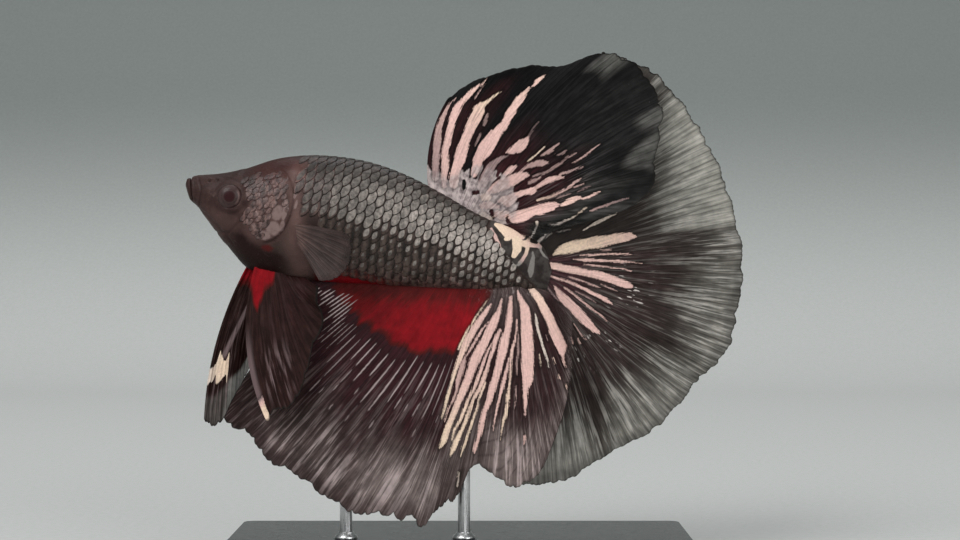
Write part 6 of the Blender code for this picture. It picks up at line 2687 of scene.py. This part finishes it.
@dataclass
class PectoralFin(Fin):
    """Small brown breast fin, nearly opaque."""

    side: Side = Side.LEFT
    columns: int = 130
    rows: int = 44
    primary: int = 7
    splits: tuple[float, ...] = (0.45,)
    root_thickness: float = 0.3
    tip_thickness: float = 0.06
    ridge: float = 0.035
    ray_width: float = 0.075
    notch: float = 0.03
    tuck: float = 0.35
    seed: int = 95
    splay: float = 2.6
    stand_off: float = 0.58
    slot: str = "pectoral_membrane"
    rays: tuple = (
        (15.75, -1.96, 8, -2, 6.6),
        (16.00, -2.65, -6, -12, 7.4),
        (16.25, -3.35, -20, -24, 7.3),
        (16.48, -4.00, -32, -35, 6.4),
        (16.69, -4.64, -44, -46, 5.0),
    )

    def __post_init__(self) -> None:
        """Names of this side."""
        label = self.side.name.lower()
        self.node = f"pectoral_fin_{label}"
        self.name = f"pectoral_membrane_{label}"

    def offset(self, share: Array, reach: Array, root: Array, along: Array) -> Array:
        """Stands off the flank as a small fan."""
        flat_share, flat_root = share[0], root[0]
        flank = [self.body.side_width(r, -2.0 - 2.7 * s) for r, s in zip(flat_root, flat_share)]
        return self.side.value * (np.array(flank)[None, :] + self.stand_off + self.splay * reach)

    def pale(self, middle: Array, share: Array, reach: Array) -> dict[str, Array]:
        """No pale bands."""
        return {"pale": -1.0, "tint": 0.0, "solid": 0.0}

    def paint_masks(self, share: Array, reach: Array) -> dict[str, Array]:
        """Darker brown outside its root, a little worn at the rim."""
        return {"clear": ease(0.0, 0.35, reach), "fade": 0.3 * ease(0.8, 1.0, reach)}

    def finish(self) -> FinFinish:
        """Dull brown membrane."""
        return FinFinish(
            self.name,
            membrane=(0.105, 0.064, 0.057),
            outer=(0.038, 0.027, 0.025),
            ray=(0.05, 0.037, 0.034),
            streak=(0.12, 0.1, 0.1),
            rim=(0.034, 0.026, 0.025),
            inner_alpha=1.0,
            outer_alpha=0.97,
        )


# ---------------------------------------------------------------- stand and studio


@dataclass
class Stand:
    """Finishes of the base and its rods, and a collar at the foot of each rod."""

    # radius and height of the collar's turned outline
    profile: tuple[Point, ...] = (
        (0.86, 0.0), (1.45, 0.0), (1.5, 0.12), (1.42, 0.34), (1.12, 0.58), (0.98, 0.82), (0.86, 0.86),
    )

    def dress(self) -> None:
        """Gives the base and rods their finishes."""
        acrylic = AcrylicFinish("stand_acrylic", 0.12).make()
        steel = SteelFinish("stand_steel", 0.22).make()
        for name in ("stand_base", "stand_rod_front", "stand_rod_rear"):
            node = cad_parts[name]
            node.data.materials.clear()
            node.data.materials.append(acrylic if name == "stand_base" else steel)
        for label in ("front", "rear"):
            self.collar(label, steel)

    def collar(self, label: str, steel: bpy.types.Material) -> bpy.types.Object:
        """Small turned collar where a rod leaves the base.

        Args:
            label: Which rod, front or rear.
            steel: The rods' material.

        Returns:
            The piece.
        """
        low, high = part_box(f"stand_rod_{label}")
        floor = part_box("stand_base")[1].z
        turns = np.linspace(0.0, 2 * math.pi, 49)
        radius, up = np.array(self.profile).T
        x = (low.x + high.x) / 2 + radius[:, None] * MM * np.cos(turns)
        y = (low.y + high.y) / 2 + radius[:, None] * MM * np.sin(turns)
        z = np.repeat(floor + up[:, None] * MM, len(turns), 1)
        points = np.stack((x, y, z), -1).reshape(-1, 3)
        unwrap = np.stack(np.broadcast_arrays(turns[None] / 7.0, up[:, None]), -1).reshape(-1, 2)
        collar = make_piece(f"stand_collar_{label}", points, grid_faces(len(up), len(turns)), unwrap, {})
        collar.data.materials.append(steel)
        return collar


@dataclass
class Studio:
    """Pale floor that rises into a plain backdrop, soft lights and the camera."""

    camera_at: tuple[float, float, float] = (2.57, -239.9, 38.77)
    lens: float = 70.0
    floor_colour: Colour = (0.45, 0.46, 0.45)
    wall_colour: Colour = (0.17, 0.187, 0.18)
    wall_at: float = 0.6
    bend: float = 0.25
    # name, place, side in metres and power in watts of each soft light
    lights: tuple = (
        ("key_light", (-0.5, -0.7, 0.75), 0.6, 8.8),
        ("fill_light", (0.6, -0.7, 0.25), 0.6, 3.6),
        ("top_light", (0.05, 0.25, 0.9), 0.7, 4.4),
    )

    def floor(self) -> bpy.types.Object:
        """Seamless floor and backdrop.

        Returns:
            The floor.
        """
        turns = np.linspace(0.0, math.pi / 2, 24)
        y = np.concatenate(([-4.0], self.wall_at - self.bend + self.bend * np.sin(turns), [self.wall_at]))
        z = np.concatenate(([0.0], self.bend * (1 - np.cos(turns)), [1.6]))
        x = np.linspace(-4.0, 4.0, 9)
        points = np.stack(np.broadcast_arrays(x[None, :], y[:, None], z[:, None]), -1).reshape(-1, 3)
        mesh = bpy.data.meshes.new("studio_floor")
        mesh.from_pydata([tuple(p) for p in points.tolist()], [], grid_faces(len(y), len(x)).tolist())
        mesh.shade_smooth()
        floor = bpy.data.objects.new("studio_floor", mesh)
        bpy.context.scene.collection.objects.link(floor)
        material, g, shader = Finish("studio_paper", 0.85, specular=0.2).start()
        height = g.node("SeparateXYZ", {0: g.node("TexCoord").outputs["Object"]}).outputs[2]
        tone = g.mix(g.step(height, 0.0, 0.12), self.floor_colour, self.wall_colour)
        grain = g.step(g.noise(900.0, 3.0), 0.3, 0.7, (0.97, 1.03))
        g.feed(shader["Base Color"], g.shade(tone, grain))
        mesh.materials.append(material)
        floor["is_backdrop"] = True
        return floor

    def softbox(self, name: str, at: tuple[float, float, float], size: float, power: float) -> None:
        """Square soft light aimed at the fish.

        Args:
            name: Name of the light.
            at: Its place in metres.
            size: Its side in metres.
            power: Its power in watts.
        """
        light = bpy.data.lights.new(name, "AREA")
        light.size = size
        light.energy = power
        lamp = bpy.data.objects.new(name, light)
        low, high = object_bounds()
        lamp.location = at
        aim = (low + high) / 2 - Vector(at)
        lamp.rotation_euler = aim.to_track_quat("-Z", "Y").to_euler()
        bpy.context.scene.collection.objects.link(lamp)

    def build(self) -> None:
        """Makes the floor, lights, surroundings and camera."""
        self.floor()
        for light in self.lights:
            self.softbox(*light)
        world = bpy.data.worlds.new("studio_air")
        world.use_nodes = True
        air = world.node_tree.nodes["Background"].inputs
        air["Color"].default_value = (0.8, 0.84, 0.84, 1.0)
        air["Strength"].default_value = 0.42
        bpy.context.scene.world = world
        lens = bpy.data.cameras.new("camera")
        lens.lens = self.lens
        lens.sensor_width = 36.0
        lens.clip_start = 0.01
        lens.clip_end = 20.0
        camera = bpy.data.objects.new("camera", lens)
        camera.location = Vector(self.camera_at) * MM
        camera.rotation_euler = (math.radians(90.0), 0.0, 0.0)
        bpy.context.scene.collection.objects.link(camera)
        bpy.context.scene.camera = camera
        bpy.context.scene.view_settings.view_transform = "Standard"


def main() -> None:
    """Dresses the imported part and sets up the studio."""
    logging.basicConfig(level=logging.INFO, format="%(name)s: %(message)s")
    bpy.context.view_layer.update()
    body, plan = BodyShape(FishPose()), HeadPlan()
    markings = Markings(body, plan)
    ground, layers = body_paint(), fin_paint()
    LOG.info("skin: %s", Skin(body, plan, markings).build(ground).name)
    for side in Side:
        for coat in (FlankCoat, CheekCoat):
            LOG.info("scales: %s", coat(body, plan, markings, side).build(ground).name)
        LOG.info("eye: %s", Eye(body, plan, side).build().name)
    for fin in (DorsalFin(body), CaudalFin(body), AnalFin(body)):
        LOG.info("fin: %s", fin.build(layers).name)
    for side in Side:
        LOG.info("fin: %s", PelvicFin(body, side=side).build(layers).name)
        LOG.info("fin: %s", PectoralFin(body, side=side).build(layers).name)
    Stand().dress()
    LOG.info("stand: base, rods and collars")
    Studio().build()
    LOG.info("studio: floor, lights and camera")


if __name__ == "__main__":
    main()
